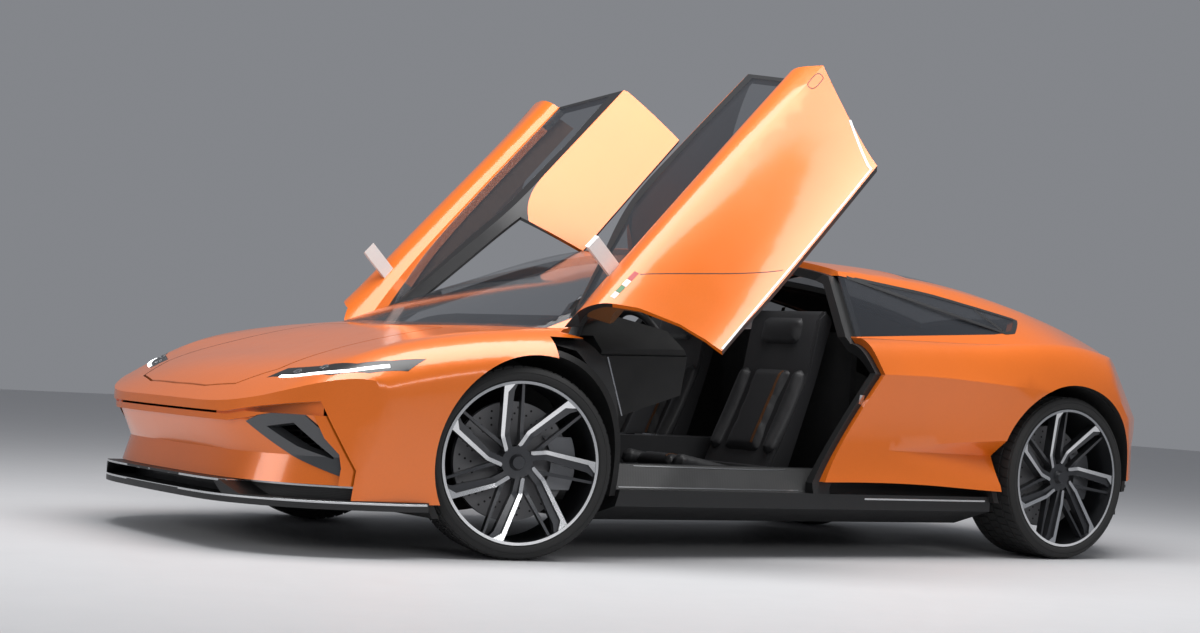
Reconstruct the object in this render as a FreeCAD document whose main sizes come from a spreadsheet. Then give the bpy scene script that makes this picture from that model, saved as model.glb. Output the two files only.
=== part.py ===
# Two-seat supercar with dihedral doors, in millimetres.
# +X points forward, +Y to the car's left, +Z up. The origin is on the ground, under the middle
# of the overall box. The doors stand open and the front wheels are steered to the right.
import FreeCAD, Part

import os
from types import SimpleNamespace

import Sketcher

Vector = FreeCAD.Vector
X_AXIS = Vector(1, 0, 0)
Y_AXIS = Vector(0, 1, 0)
Z_AXIS = Vector(0, 0, 1)

# Driving dimensions, kept in the sheet: lengths in millimetres, angles in degrees.
DRIVING = {
    "body_length": 4560,
    "body_width": 1950,
    "body_height": 1220,
    "wheelbase": 2695,
    "front_axle_ahead": 1240,
    "tyre_radius": 345,
    "rim_radius": 291,
    "front_tyre_width": 255,
    "rear_tyre_width": 290,
    "wheel_face_out": 945,
    "arch_radius": 394,
    "front_arch_radius": 385,
    "well_roll_radius": 420,
    "panel_wall": 24,
    "glass_wall": 6,
    "frame_depth": 58,
    "trim_depth": 90,
    "panel_gap": 6,
    "screen_gap": 14,
    "overrun": 300,
    "steer_angle": 14,
    "door_angle": 66.9,
    "door_pivot_ahead": 1049,
    "door_pivot_out": 802,
    "door_pivot_up": 855,
    "hinge_pin_radius": 7,
    "hinge_boss_radius": 12,
    "hinge_root_back": 235,
    "hinge_boss_length": 60,
    "hinge_pin_length": 140,
    "hinge_knuckle_length": 60,
    "hinge_relief_radius": 30,
    "hinge_relief_length": 165,
    "running_fit": 0.05,
    "fit_gap": 0.3,
    "glass_fit": 0.8,
    "lamp_gap": 0.8,
    "lamp_foot": 520,
    "trim_setback": 38,
    "trim_top": 860,
    "trim_foot": 345,
    "deck_floor": 480,
    "cowl_ahead": 900,
    "roof_front_ahead": 334,
    "fender_end_ahead": 1165,
    "fender_end_top": 800,
    "fascia_back": 1500,
    "fascia_top_inset": 15,
    "fascia_waist_inset": 78,
    "fascia_foot_inset": 50,
    "fascia_top": 480,
    "fascia_waist": 340,
    "fascia_foot": 245,
    "beak_slot": 9,
    "flange_width": 22,
    "flange_inset": 10,
    "bezel_width": 40,
    "bezel_proud": 8,
    "splitter_under": 165,
    "riser_inset": 100,
    "riser_wall": 34,
    "splitter_wall": 32,
    "splitter_back": 1640,
    "duct_depth": 120,
    "tail_lean_foot": 610,
    "tail_lean_top": 900,
    "tail_lean_inset": 183,
    "rear_panel_depth": 400,
    "rear_panel_inset": 40,
    "rear_panel_foot": 290,
    "tail_lamp_inset": 20,
    "tail_lamp_foot": 520,
    "tail_lamp_top": 560,
    "tail_lamp_half": 820,
    "diffuser_front": -1880,
    "diffuser_under": 160,
    "diffuser_half": 560,
    "fin_pitch": 200,
    "fin_wall": 12,
    "hood_pin_ahead": 30,
    "hood_pin_radius": 5,
    "hood_pin_reach": 18,
    "hood_rear_gap": 8,
    "tongue_out": 220,
    "tongue_width": 40,
    "tongue_pin_back": 30,
    "tongue_pin_radius": 4,
    "tongue_pin_root": 12,
    "tongue_nose_radius": 10,
    "tongue_clearance": 1,
    "notch_back": 16,
    "gate_relief_radius": 42,
    "mirror_back": 760,
    "mirror_chord": 60,
    "ring_out": 60,
    "ring_in": 20,
    "housing_inner": 515,
    "well_radius": 396,
    "rear_housing_inner": 560,
    "housing_outer": 935,
    "sill_back": -1050,
    "sill_front": 880,
    "sill_outer": 895,
    "sill_inner": 690,
    "sill_flat": 80,
    "sill_ledge": 45,
    "sill_top": 345,
    "sill_lip_top": 255,
    "sill_under": 195,
    "floor_back": -1000,
    "floor_front": 842,
    "floor_top": 190,
    "floor_under": 130,
    "battery_back": -980,
    "battery_front": -480,
    "battery_half_width": 480,
    "battery_top": 520,
    "bulkhead_back": -460,
    "bulkhead_wall": 30,
    "bulkhead_top": 900,
    "front_wall_back": 832.5,
    "front_wall_half": 480,
    "front_wall_top": 815.8,
    "tray_wall": 12,
    "dash_half": 730,
    "console_back": -380,
    "console_half": 90,
    "console_top": 430,
    "seat_middle_out": 370,
    "seat_half": 225,
    "seat_rail_back": -120,
    "seat_rail_front": 260,
    "seat_rail_half": 150,
    "seat_rail_top": 240,
    "tyre_bulge": 8,
    "tyre_shoulder": 12,
    "rim_wall": 10,
    "lip_recess": 9,
    "dish_recess": 46,
    "dish_radius": 110,
    "flank_drop": 12,
    "hub_recess": 54,
    "hub_depth": 44,
    "hub_bore": 22,
    "hub_radius": 58,
    "nut_radius": 30,
    "nut_height": 18,
    "spoke_depth": 42,
    "spindle_radius": 25,
    "disc_radius": 215,
    "disc_wall": 30,
    "disc_set_in": 130,
    "kingpin_behind_disc": 36,
    "knuckle_depth": 60,
    "knuckle_half": 45,
    "knuckle_reach": 120,
    "kingpin_radius": 12,
    "arm_wall": 24,
    "arm_root_half": 150,
    "caliper_wall": 22,
    "caliper_inner": 145,
    "caliper_half": 95,
    "column_run": 100,
    "column_rise": 42,
    "steering_ahead": 394,
    "steering_up": 770,
    "column_radius": 25,
    "column_length": 260,
    "steering_radius": 172,
    "steering_grip": 15,
    "steering_boss": 50,
}

doc = FreeCAD.newDocument("supercar")
sheet = doc.addObject("Spreadsheet::Sheet", "Sizes")
for row, (name, value) in enumerate(DRIVING.items(), start=1):
    sheet.set("A%d" % row, name)
    sheet.set("B%d" % row, str(value))
    sheet.setAlias("B%d" % row, name)
doc.recompute()
size = SimpleNamespace(**{name: float(sheet.get(name)) for name in DRIVING})

HALF_LENGTH = size.body_length / 2
HALF_WIDTH = size.body_width / 2
FRONT_AXLE = size.front_axle_ahead
REAR_AXLE = size.front_axle_ahead - size.wheelbase

SPOKE_COUNT = 7

# Stations of the lower body from nose to tail. Each row has shares of the half length, the
# height and the half width: x, middle z, crest y z, waist y z, sill y z, hollow and crease.
LOWER_BODY_SHARES = (
    (1.114, 0.250, 0.533, 0.236, 0.738, 0.226, 0.718, 0.131, 0.00, 0.000),
    (1.018, 0.385, 0.615, 0.368, 0.795, 0.330, 0.759, 0.139, 0.00, 0.000),
    (0.930, 0.497, 0.682, 0.462, 0.851, 0.398, 0.821, 0.148, 0.00, 0.000),
    (0.820, 0.568, 0.754, 0.565, 0.918, 0.462, 0.887, 0.152, 0.00, 0.000),
    (0.667, 0.645, 0.815, 0.640, 0.969, 0.525, 0.938, 0.156, 0.00, 0.000),
    (0.535, 0.690, 0.841, 0.672, 0.987, 0.557, 0.949, 0.164, 0.01, 0.000),
    (0.404, 0.709, 0.849, 0.685, 0.969, 0.574, 0.923, 0.223, 0.02, 0.000),
    (0.272, 0.711, 0.851, 0.695, 0.962, 0.586, 0.925, 0.230, 0.03, 0.000),
    (0.158, 0.711, 0.851, 0.702, 0.959, 0.590, 0.928, 0.235, 0.04, 0.000),
    (0.031, 0.709, 0.850, 0.710, 0.959, 0.598, 0.935, 0.243, 0.05, 0.013),
    (-0.123, 0.705, 0.847, 0.718, 0.966, 0.602, 0.949, 0.250, 0.05, 0.031),
    (-0.298, 0.697, 0.853, 0.725, 0.983, 0.605, 0.959, 0.246, 0.05, 0.045),
    (-0.474, 0.689, 0.884, 0.732, 0.995, 0.590, 0.969, 0.230, 0.03, 0.036),
    (-0.649, 0.689, 0.903, 0.744, 1.000, 0.574, 0.974, 0.238, 0.01, 0.010),
    (-0.781, 0.672, 0.877, 0.711, 0.983, 0.549, 0.949, 0.270, 0.00, 0.000),
    (-0.890, 0.623, 0.795, 0.660, 0.908, 0.516, 0.882, 0.287, 0.00, 0.000),
    (-1.044, 0.541, 0.656, 0.574, 0.759, 0.459, 0.738, 0.279, 0.00, 0.000),
)
# Stations of the greenhouse: x, middle z, rail y z, and the foot y z that runs into the crest.
GREENHOUSE_SHARES = (
    (0.667, 0.630, 0.820, 0.566, 0.830, 0.480),
    (0.535, 0.720, 0.785, 0.658, 0.840, 0.610),
    (0.404, 0.818, 0.710, 0.754, 0.850, 0.655),
    (0.272, 0.908, 0.633, 0.850, 0.856, 0.670),
    (0.158, 0.973, 0.567, 0.929, 0.856, 0.677),
    (0.031, 0.992, 0.554, 0.947, 0.855, 0.685),
    (-0.123, 0.998, 0.554, 0.949, 0.852, 0.693),
    (-0.298, 0.997, 0.562, 0.940, 0.858, 0.700),
    (-0.474, 0.982, 0.564, 0.916, 0.889, 0.707),
    (-0.649, 0.930, 0.564, 0.867, 0.908, 0.719),
    (-0.781, 0.867, 0.564, 0.807, 0.882, 0.686),
    (-0.890, 0.791, 0.554, 0.742, 0.800, 0.635),
    (-1.044, 0.680, 0.513, 0.631, 0.661, 0.549),
)
KEEL_IN_SHARE = 0.80
KEEL_SINK_SHARE = 0.12
SHOULDER_OUT_SHARE = 0.55
SHOULDER_DROP_SHARE = 0.12
WAIST_RISE_SHARE = 0.45
LOWER_TUCK_SHARE = 0.30
TUCK_CREASE_SHARE = 0.80

# Plan outlines of the nose and the tail: shares of the half length and the half width.
NOSE_PLAN_SHARES = ((0.996, 0.0), (0.993, 0.308), (0.978, 0.533), (0.936, 0.708), (0.877, 0.821),
                    (0.811, 0.913), (0.754, 0.985))
TAIL_PLAN_SHARES = ((-1.0, 0.0), (-0.993, 0.308), (-0.969, 0.533), (-0.925, 0.718),
                    (-0.868, 0.841), (-0.803, 0.954), (-0.737, 1.046))
# Door: plan outline, side outline, then the side window.
DOOR_PLAN_SHARES = ((-0.160, 0.190), (0.147, 0.179), (0.156, 0.503), (0.375, 0.640),
                    (0.497, 0.915), (0.497, 1.128), (-0.232, 1.128), (-0.232, 0.821),
                    (-0.198, 0.537))
DOOR_SIDE_SHARES = ((0.505, 0.685), (0.449, 0.662), (0.424, 0.594), (0.397, 0.502),
                    (0.377, 0.382), (0.373, 0.295), (0.378, 0.164), (-0.051, 0.164),
                    (-0.051, 0.238), (-0.168, 0.603), (-0.153, 0.719), (-0.198, 0.952),
                    (-0.198, 1.107), (0.505, 1.107))
SIDE_WINDOW_SHARES = ((0.404, 0.742), (0.351, 0.725), (0.263, 0.716), (0.154, 0.715),
                      (0.039, 0.720), (-0.070, 0.723), (-0.147, 0.731), (-0.180, 0.906),
                      (-0.035, 0.918), (0.096, 0.906), (0.158, 0.898), (0.214, 0.857),
                      (0.311, 0.803))
DOOR_AXIS_SHARES = (0.708, 0.629, -0.321)
HOOD_PLAN_SHARES = ((0.965, 0.0), (0.962, 0.25), (0.945, 0.42), (0.890, 0.495), (0.770, 0.475),
                    (0.690, 0.482), (0.605, 0.482), (0.605, 0.0))
TAILGATE_PLAN_SHARES = ((-0.385, 0.0), (-0.385, 0.50), (-0.900, 0.45), (-0.930, 0.0))
TAILGATE_GLASS_SHARES = ((-0.405, 0.0), (-0.405, 0.46), (-0.800, 0.42), (-0.815, 0.0))
SCREEN_PLAN_SHARES = ((0.151, 0.0), (0.151, 0.62), (0.530, 0.80), (0.600, 0.40), (0.620, 0.0))
HEADLAMP_PLAN_SHARES = ((0.918, 0.530), (0.884, 0.542), (0.860, 0.699), (0.828, 0.813),
                        (0.783, 0.872), (0.732, 0.912), (0.766, 0.924), (0.821, 0.879),
                        (0.869, 0.799), (0.902, 0.650), (0.912, 0.558))
FASCIA_FRONT_SHARES = ((0.0, 0.389), (0.513, 0.389), (0.810, 0.434), (0.882, 0.246),
                       (0.870, 0.08), (0.0, 0.08))
INTAKE_FRONT_SHARES = ((0.585, 0.365), (0.646, 0.386), (0.764, 0.407), (0.846, 0.288),
                       (0.851, 0.246), (0.831, 0.225), (0.708, 0.277))
DASH_SIDE_SHARES = ((0.365, 0.40), (0.200, 0.50), (0.190, 0.62), (0.215, 0.70), (0.300, 0.735),
                    (0.550, 0.675), (0.550, 0.655), (0.365, 0.67))
SPLITTER_FRONT_SHARES = ((0.513, 0.2002), (0.615, 0.1615), (0.944, 0.1615), (0.944, 0.1353))
DUCT_FRONT_SHARES = ((0.492, 0.1926), (0.544, 0.1557))
SPLITTER_PLAN_SHARES = ((1.0, 0.0), (0.997, 0.308), (0.985, 0.52), (0.950, 0.68), (0.90, 0.80),
                        (0.84, 0.875), (0.754, 0.935))
MIRROR_FRONT_SHARES = ((0.846, 0.668), (0.867, 0.666), (0.990, 0.750), (0.985, 0.764))
SEAT_SIDE_SHARES = ((0.150, 0.180), (0.150, 0.300), (0.120, 0.320), (0.000, 0.280),
                    (-0.030, 0.300), (-0.110, 0.620), (-0.130, 0.800), (-0.160, 0.820),
                    (-0.185, 0.780), (-0.150, 0.560), (-0.080, 0.180))
FRONT_TRAY_SIDE_SHARES = ((0.440, 0.215), (0.860, 0.215), (0.860, 0.440), (0.620, 0.600),
                          (0.440, 0.600))
REAR_TRAY_SIDE_SHARES = ((-0.880, 0.460), (-0.395, 0.460), (-0.395, 0.530), (-0.880, 0.530))
REAR_PANEL_SHARES = ((0.0, 0.50), (0.75, 0.50), (0.88, 0.40), (0.88, 0.08), (0.0, 0.08))
QUARTER_WINDOW_SHARES = ((-0.150, 0.940), (-0.110, 0.717), (-0.499, 0.766), (-0.554, 0.779),
                         (-0.602, 0.826), (-0.524, 0.853), (-0.407, 0.891))
# Scoop ahead of the rear wheel: x, then y z of its top edge, its inner crease and its foot.
SCOOP_SHARES = ((-0.132, 0.955, 0.422, 0.940, 0.358, 0.944, 0.290),
                (-0.490, 0.980, 0.418, 0.885, 0.348, 0.976, 0.234))
SCOOP_WALL_SHARES = (1.4, 1.4, 1.6)
# Wheel spokes, shares of the rim's radius: towards the tip, then across it.
RIDGE_SHARES = ((0.165, 0.141), (0.364, 0.162), (0.990, 0.045), (0.984, -0.117), (0.880, 0.010),
                (0.364, 0.113), (0.165, 0.093))
FLANK_SHARES = ((0.155, 0.141), (0.364, 0.155), (0.985, 0.040), (0.975, -0.150), (0.880, -0.086),
                (0.364, 0.041), (0.155, 0.027))
THIN_SPOKE_SHARES = ((0.155, -0.030), (0.268, -0.082), (0.968, -0.196), (0.964, -0.227),
                     (0.268, -0.131), (0.155, -0.090))


def plan(share_pairs, height=0.0):
    """Points of a plan outline at one height."""
    return [Vector(x * HALF_LENGTH, y * HALF_WIDTH, height) for x, y in share_pairs]


def side(share_pairs, out=0.0):
    """Points of a side outline at one distance from the middle plane."""
    return [Vector(x * HALF_LENGTH, out, z * size.body_height) for x, z in share_pairs]


def strip(lines):
    """A face whose cross-section is a Bezier curve over lines that are splined along the car."""
    start, end = lines[0][0].x, lines[0][-1].x
    along = [(point.x - start) / (end - start) for point in lines[0]]
    curves = []
    for line in lines:
        curve = Part.BSplineCurve()
        curve.interpolate(Points=line, Parameters=along)
        curves.append(curve)
    poles = [[curve.getPole(i + 1) for curve in curves] for i in range(curves[0].NbPoles)]
    degree = len(lines) - 1
    surface = Part.BSplineSurface()
    surface.buildFromPolesMultsKnots(poles, curves[0].getMultiplicities(), [degree + 1] * 2,
                                     curves[0].getKnots(), [0.0, 1.0], False, False,
                                     curves[0].Degree, degree)
    return surface.toShape()


def end_cap(lines_of_strips, station):
    """The flat face that closes the strips at their first or last station."""
    edges = []
    for lines in lines_of_strips:
        curve = Part.BezierCurve()
        curve.setPoles([line[station] for line in lines])
        edges.append(curve.toShape())
    return Part.Face(Part.Wire(Part.__sortEdges__(edges)))


def closed_solid(lines_of_strips):
    """A solid between all strips and their two end caps."""
    faces = [strip(lines) for lines in lines_of_strips]
    faces.append(end_cap(lines_of_strips, 0))
    faces.append(end_cap(lines_of_strips, -1))
    shell = Part.makeShell(faces)
    shell.sewShape()
    solid = Part.makeSolid(shell if shell.ShapeType == "Shell" else shell.Shells[0])
    return solid if solid.Volume > 0 else solid.reversed()


def mirrored(points):
    """The same points on the other side of the car."""
    return [Vector(point.x, -point.y, point.z) for point in points]


def crown(middle, edge_left):
    """Five lines of a quartic crown from the right edge over the middle to the left edge."""
    top = [Vector(m.x, 0, (8 * m.z - e.z) / 7) for m, e in zip(middle, edge_left)]
    half = [Vector(e.x, e.y / 2, t.z) for e, t in zip(edge_left, top)]
    return [mirrored(edge_left), mirrored(half), top, half, edge_left]


def lower_body(inset):
    """The body below the glass, with every wall moved inwards by inset."""
    middle, crest, shoulder, waist_over, waist, tuck, hollow_line, sill = ([] for _ in range(8))
    for x, zm, yc, zc, yw, zw, ys, zs, hollow, crease in LOWER_BODY_SHARES:
        at = x * HALF_LENGTH
        c = Vector(at, yc * HALF_WIDTH - inset, zc * size.body_height - inset)
        w = Vector(at, yw * HALF_WIDTH - inset, zw * size.body_height)
        s = Vector(at, ys * HALF_WIDTH - inset, zs * size.body_height - 2 * inset)
        fold = crease * HALF_WIDTH
        middle.append(Vector(at, 0, zm * size.body_height - inset))
        crest.append(c)
        waist.append(w)
        sill.append(s)
        shoulder.append(Vector(at, c.y + SHOULDER_OUT_SHARE * (w.y - c.y),
                               c.z - SHOULDER_DROP_SHARE * (c.z - w.z)))
        waist_over.append(Vector(at, w.y - fold, w.z + WAIST_RISE_SHARE * (c.z - w.z)))
        tuck.append(Vector(at, w.y - fold * TUCK_CREASE_SHARE,
                           w.z - LOWER_TUCK_SHARE * (w.z - s.z)))
        hollow_line.append(Vector(at, s.y - hollow * HALF_WIDTH,
                                  s.z + LOWER_TUCK_SHARE * (w.z - s.z)))
    strips = [crown(middle, crest)]
    for upper, over, under, lower in ((crest, shoulder, waist_over, waist),
                                      (waist, tuck, hollow_line, sill)):
        strips.append([upper, over, under, lower])
        strips.append([mirrored(line) for line in (upper, over, under, lower)])
    strips.append([sill, mirrored(sill)])
    return closed_solid(strips)


def greenhouse(inset):
    """The windscreen, roof, side glass and fastback, with every wall moved inwards by inset."""
    middle, rail, foot, keel = [], [], [], []
    for x, zm, yr, zr, yf, zf in GREENHOUSE_SHARES:
        at = x * HALF_LENGTH
        middle.append(Vector(at, 0, zm * size.body_height - inset))
        rail.append(Vector(at, yr * HALF_WIDTH - inset / 2, zr * size.body_height - inset))
        foot.append(Vector(at, yf * HALF_WIDTH - inset, zf * size.body_height - inset / 2))
        keel.append(Vector(at, foot[-1].y * KEEL_IN_SHARE,
                           foot[-1].z - KEEL_SINK_SHARE * size.body_height))
    strips = [crown(middle, rail)]
    for upper, lower in ((rail, foot), (foot, keel)):
        strips += [[upper, lower], [mirrored(upper), mirrored(lower)]]
    strips.append([keel, mirrored(keel)])
    return closed_solid(strips)


def plan_curve(share_pairs, inset, height):
    """A smooth plan curve across the nose or the tail, moved towards the car's middle."""
    half = plan(share_pairs, height)
    shift = -inset if half[0].x > 0 else inset
    half = [Vector(p.x + shift, p.y, p.z) for p in half]
    points = [Vector(p.x, -p.y, p.z) for p in reversed(half[1:])] + half
    curve = Part.BSplineCurve()
    curve.interpolate(points)
    return curve.toShape(), points[0], points[-1]


def plan_prism(inset, bottom, top):
    """An upright prism whose plan ends in the curves of nose and tail."""
    nose, nose_right, nose_left = plan_curve(NOSE_PLAN_SHARES, inset, bottom)
    tail, tail_right, tail_left = plan_curve(TAIL_PLAN_SHARES, inset, bottom)
    wide = Vector(0, size.overrun, 0)
    points = [nose_left, nose_left + wide, tail_left + wide, tail_left]
    left = [Part.LineSegment(a, b).toShape() for a, b in zip(points, points[1:])]
    points = [nose_right, nose_right - wide, tail_right - wide, tail_right]
    right = [Part.LineSegment(a, b).toShape() for a, b in zip(points, points[1:])]
    wire = Part.Wire(Part.__sortEdges__([nose, tail] + left + right))
    return Part.Face(wire).extrude(Vector(0, 0, top - bottom))


def curve_loft(share_pairs, sections, end):
    """A ruled block between a leaning plan curve and a flat end: sections are inset and height."""
    wires = []
    for inset, height in sections:
        edge, right, left = plan_curve(share_pairs, inset, height)
        far_left = Vector(end, left.y, height)
        far_right = Vector(end, right.y, height)
        lines = [Part.LineSegment(a, b).toShape()
                 for a, b in ((left, far_left), (far_left, far_right), (far_right, right))]
        wires.append(Part.Wire(Part.__sortEdges__([edge] + lines)))
    return Part.makeLoft(wires, True, True)


def tail_lean(inset):
    """The space behind the leaning upper edge of the tail."""
    return curve_loft(TAIL_PLAN_SHARES,
                      ((inset, size.tail_lean_foot),
                       (inset + size.tail_lean_inset, size.tail_lean_top)),
                      -HALF_LENGTH - size.overrun)


def body(inset):
    """The whole closed body, with every wall moved inwards by inset."""
    both = lower_body(inset).fuse(greenhouse(inset))
    both = both.common(plan_prism(inset, 0, size.body_height + size.overrun))
    return both.cut(tail_lean(inset))


def prism(points, way):
    """A straight prism over a closed outline."""
    return Part.Face(Part.makePolygon(points + points[:1])).extrude(way)


def grown(points, way, grow):
    """A straight prism over a closed outline that is first grown by a length."""
    face = Part.Face(Part.makePolygon(points + points[:1]))
    if grow:
        face = face.makeOffset2D(grow, 2)
    return face.extrude(way)


def plan_zone(share_pairs, grow=0.0):
    """An upright prism through the whole height over a plan outline."""
    return grown(plan(share_pairs), Vector(0, 0, size.body_height + size.overrun), grow)


def side_zone(share_pairs, grow=0.0):
    """A prism from the middle plane out to the left over a side outline."""
    return grown(side(share_pairs), Vector(0, HALF_WIDTH + size.overrun, 0), grow)


def front_zone(share_pairs, shrink=0.0):
    """A prism along the nose over an outline seen from the front."""
    points = [Vector(size.fascia_back, y * HALF_WIDTH, z * size.body_height)
              for y, z in share_pairs]
    return grown(points, Vector(size.body_length, 0, 0), -shrink)


def across_middle(half):
    """A closed front outline from the points of its left half, top first."""
    return [(-y, z) for y, z in reversed(half)] + list(half)


def mirror(shape):
    """The shape on the other side of the car."""
    return shape.mirror(Vector(0, 0, 0), Y_AXIS)


def pair(shape):
    """The shape and its mirror image as one compound."""
    return Part.makeCompound([shape, mirror(shape)])


def door_zone(grow=0.0):
    """The space that the left door takes out of the body."""
    return plan_zone(DOOR_PLAN_SHARES, grow).common(side_zone(DOOR_SIDE_SHARES, grow))


def across(radius, x, z, inner, outer):
    """A cylinder that runs across the car on the left, from inner to outer."""
    return Part.makeCylinder(radius, outer - inner, Vector(x, inner, z), Y_AXIS)


# Sub-parts are kept here under their labels until they are written.
sub_parts = {}


def keep(label, shape):
    """Store a finished shape as a sub-part of the document."""
    feature = doc.addObject("Part::Feature", label)
    feature.Label = label
    feature.Shape = shape
    sub_parts[label] = feature
    return feature


def solids(shape, smallest=0.0):
    """The solids of a shape as one compound, without slivers under the smallest volume."""
    kept = [solid for solid in shape.Solids if solid.Volume > smallest]
    return kept[0] if len(kept) == 1 else Part.makeCompound(kept)


def box(x0, x1, y0, y1, z0, z1):
    """A box between two corners."""
    return Part.makeBox(x1 - x0, y1 - y0, z1 - z0, Vector(x0, y0, z0))


def turned(shape, at, way, degrees):
    """A copy of the shape turned about an axis."""
    copy = shape.copy()
    copy.rotate(at, way, degrees)
    return copy


SLIVER = size.panel_wall ** 3
UP = Vector(0, 0, size.body_height + size.overrun)

# Body skins at their depths.
skin_outer = body(0)
skin_glass = body(size.glass_wall)
skin_inner = body(size.panel_wall)
skin_seat = body(size.panel_wall + size.fit_gap)
skin_frame = body(size.frame_depth)
skin_trim = body(size.trim_depth)
panel_shell = skin_outer.cut(skin_inner)
glass_shell = skin_outer.cut(skin_glass)
frame_shell = skin_seat.cut(skin_frame)


def both_sides(share_pairs):
    """A closed plan outline from its left half, whose first and last points lie in the middle."""
    half = plan(share_pairs)
    return half + mirrored(half[1:-1])[::-1]


def surface_height(x, y):
    """How high the body's outer surface lies over a point of the plan."""
    probe = Part.makeLine(Vector(x, y, 0), Vector(x, y, 0) + UP)
    return max(vertex.Z for vertex in skin_outer.common(probe).Vertexes)


def sideways(radius, x, y0, y1, z):
    """A cylinder across the car between two distances from the middle plane."""
    return Part.makeCylinder(radius, y1 - y0, Vector(x, y0, z), Y_AXIS)


# Kingpins and wheel wells
KINGPIN_BACK = size.disc_set_in + size.disc_wall + size.kingpin_behind_disc
KINGPIN_INSET = KINGPIN_BACK - size.front_tyre_width / 2
KINGPIN_OUT = size.wheel_face_out - KINGPIN_BACK
front_arch = across(size.front_arch_radius, FRONT_AXLE, size.tyre_radius, size.housing_inner,
                    HALF_WIDTH + size.overrun)
rear_arch = across(size.arch_radius, REAR_AXLE, size.tyre_radius, size.housing_inner,
                   HALF_WIDTH + size.overrun)
front_roll = across(size.well_roll_radius + size.fit_gap, FRONT_AXLE, size.tyre_radius,
                    size.housing_inner - size.panel_wall - size.fit_gap,
                    HALF_WIDTH + size.overrun)
rear_roll = across(size.well_roll_radius + size.fit_gap, REAR_AXLE, size.tyre_radius,
                   size.rear_housing_inner - size.fit_gap, HALF_WIDTH + size.overrun)


def scoop_space(grow=0.0):
    """The scoop in the left flank ahead of the rear wheel, or the space of its walls as well."""
    wires = []
    rise, reach, drop = (share * grow for share in SCOOP_WALL_SHARES)
    out = HALF_WIDTH + size.overrun
    for x, yt, zt, yc, zc, yf, zf in SCOOP_SHARES:
        at = x * HALF_LENGTH
        top = zt * size.body_height + rise
        foot = zf * size.body_height - drop
        points = [Vector(at, out, top), Vector(at, yt * HALF_WIDTH, top),
                  Vector(at, yc * HALF_WIDTH - reach, zc * size.body_height),
                  Vector(at, yf * HALF_WIDTH, foot), Vector(at, out, foot)]
        wires.append(Part.makePolygon(points + points[:1]))
    return Part.makeLoft(wires, True, True)


scoop = scoop_space()
scoop_seat = scoop_space(size.panel_wall + size.fit_gap)

# Doors: each turns about a slanting axis at the foot of the windscreen pillar.
DOOR_PIVOT = Vector(size.door_pivot_ahead, size.door_pivot_out, size.door_pivot_up)
DOOR_AXIS = Vector(*DOOR_AXIS_SHARES).normalize()
door_space = door_zone()
door_shell = panel_shell.common(door_space)
window_space = side_zone(SIDE_WINDOW_SHARES)


def along_hinge(radius, start, length):
    """A cylinder about the door's axis, from a distance behind the pivot rearwards."""
    return Part.makeCylinder(radius, length, DOOR_PIVOT - DOOR_AXIS * (start + length), DOOR_AXIS)


def open_door(shape):
    """The left door's piece as it stands open."""
    return turned(shape, DOOR_PIVOT, DOOR_AXIS, size.door_angle)


def keep_door_pair(name, shape):
    """Store the open piece on the left door and its mirror image on the right door."""
    left = open_door(shape)
    keep("door_left_" + name, left)
    keep("door_right_" + name, mirror(left))


hinge_pin = along_hinge(size.hinge_pin_radius, size.hinge_root_back, size.hinge_pin_length)
hinge_boss = along_hinge(size.hinge_boss_radius, size.hinge_root_back, size.hinge_boss_length)
door_skin = solids(door_shell.cut(window_space), SLIVER).fuse([hinge_pin, hinge_boss])
keep_door_pair("skin", door_skin)
window_fit = side_zone(SIDE_WINDOW_SHARES, -size.glass_fit)
keep_door_pair("glass", solids(glass_shell.common(door_space).common(window_fit)))
trim = skin_seat.cut(skin_trim).common(door_zone(-size.trim_setback)).cut(window_space)
trim = trim.common(box(-HALF_LENGTH, HALF_LENGTH, 0, HALF_WIDTH, size.trim_foot, size.trim_top))
keep_door_pair("trim", solids(trim, SLIVER))
mirror_outline = [Vector(size.mirror_back, y * HALF_WIDTH, z * size.body_height)
                  for y, z in MIRROR_FRONT_SHARES]
mirror_wing = prism(mirror_outline, Vector(size.mirror_chord, 0, 0)).cut(skin_outer)
keep_door_pair("mirror", solids(mirror_wing, SLIVER))

# Space round the hinge, and the fixed knuckle that holds the pin
knuckle_start = size.hinge_root_back + size.hinge_pin_length - size.hinge_knuckle_length
hinge_relief = along_hinge(size.hinge_relief_radius, knuckle_start - size.hinge_relief_length,
                           size.hinge_relief_length)
hinge_knuckle = along_hinge(size.hinge_boss_radius + size.fit_gap, knuckle_start + size.fit_gap,
                            size.hinge_knuckle_length)
hinge_bore = along_hinge(size.hinge_pin_radius + size.running_fit, size.hinge_root_back,
                         size.hinge_pin_length)
hinge_line = along_hinge(size.hinge_boss_radius + size.panel_gap,
                         size.hinge_root_back - size.panel_gap,
                         size.hinge_pin_length + size.panel_gap * 2)

# Body panels that stay
door_hole = door_zone(size.panel_gap)
fixed_shell = panel_shell.cut([door_hole, mirror(door_hole)])
above_deck = box(-HALF_LENGTH, HALF_LENGTH, -HALF_WIDTH, HALF_WIDTH, size.deck_floor,
                 size.body_height + size.overrun)


def deck_zone(share_pairs, grow=0.0):
    """An upright prism over a plan outline of both sides, above the deck's floor only."""
    return grown(both_sides(share_pairs), UP, grow).common(above_deck)


def fascia_zone(shrink=0.0):
    """The space of the front fascia, as an outline seen from the front drawn along the car."""
    return front_zone(across_middle(FASCIA_FRONT_SHARES[1:-1]), shrink)


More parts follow.
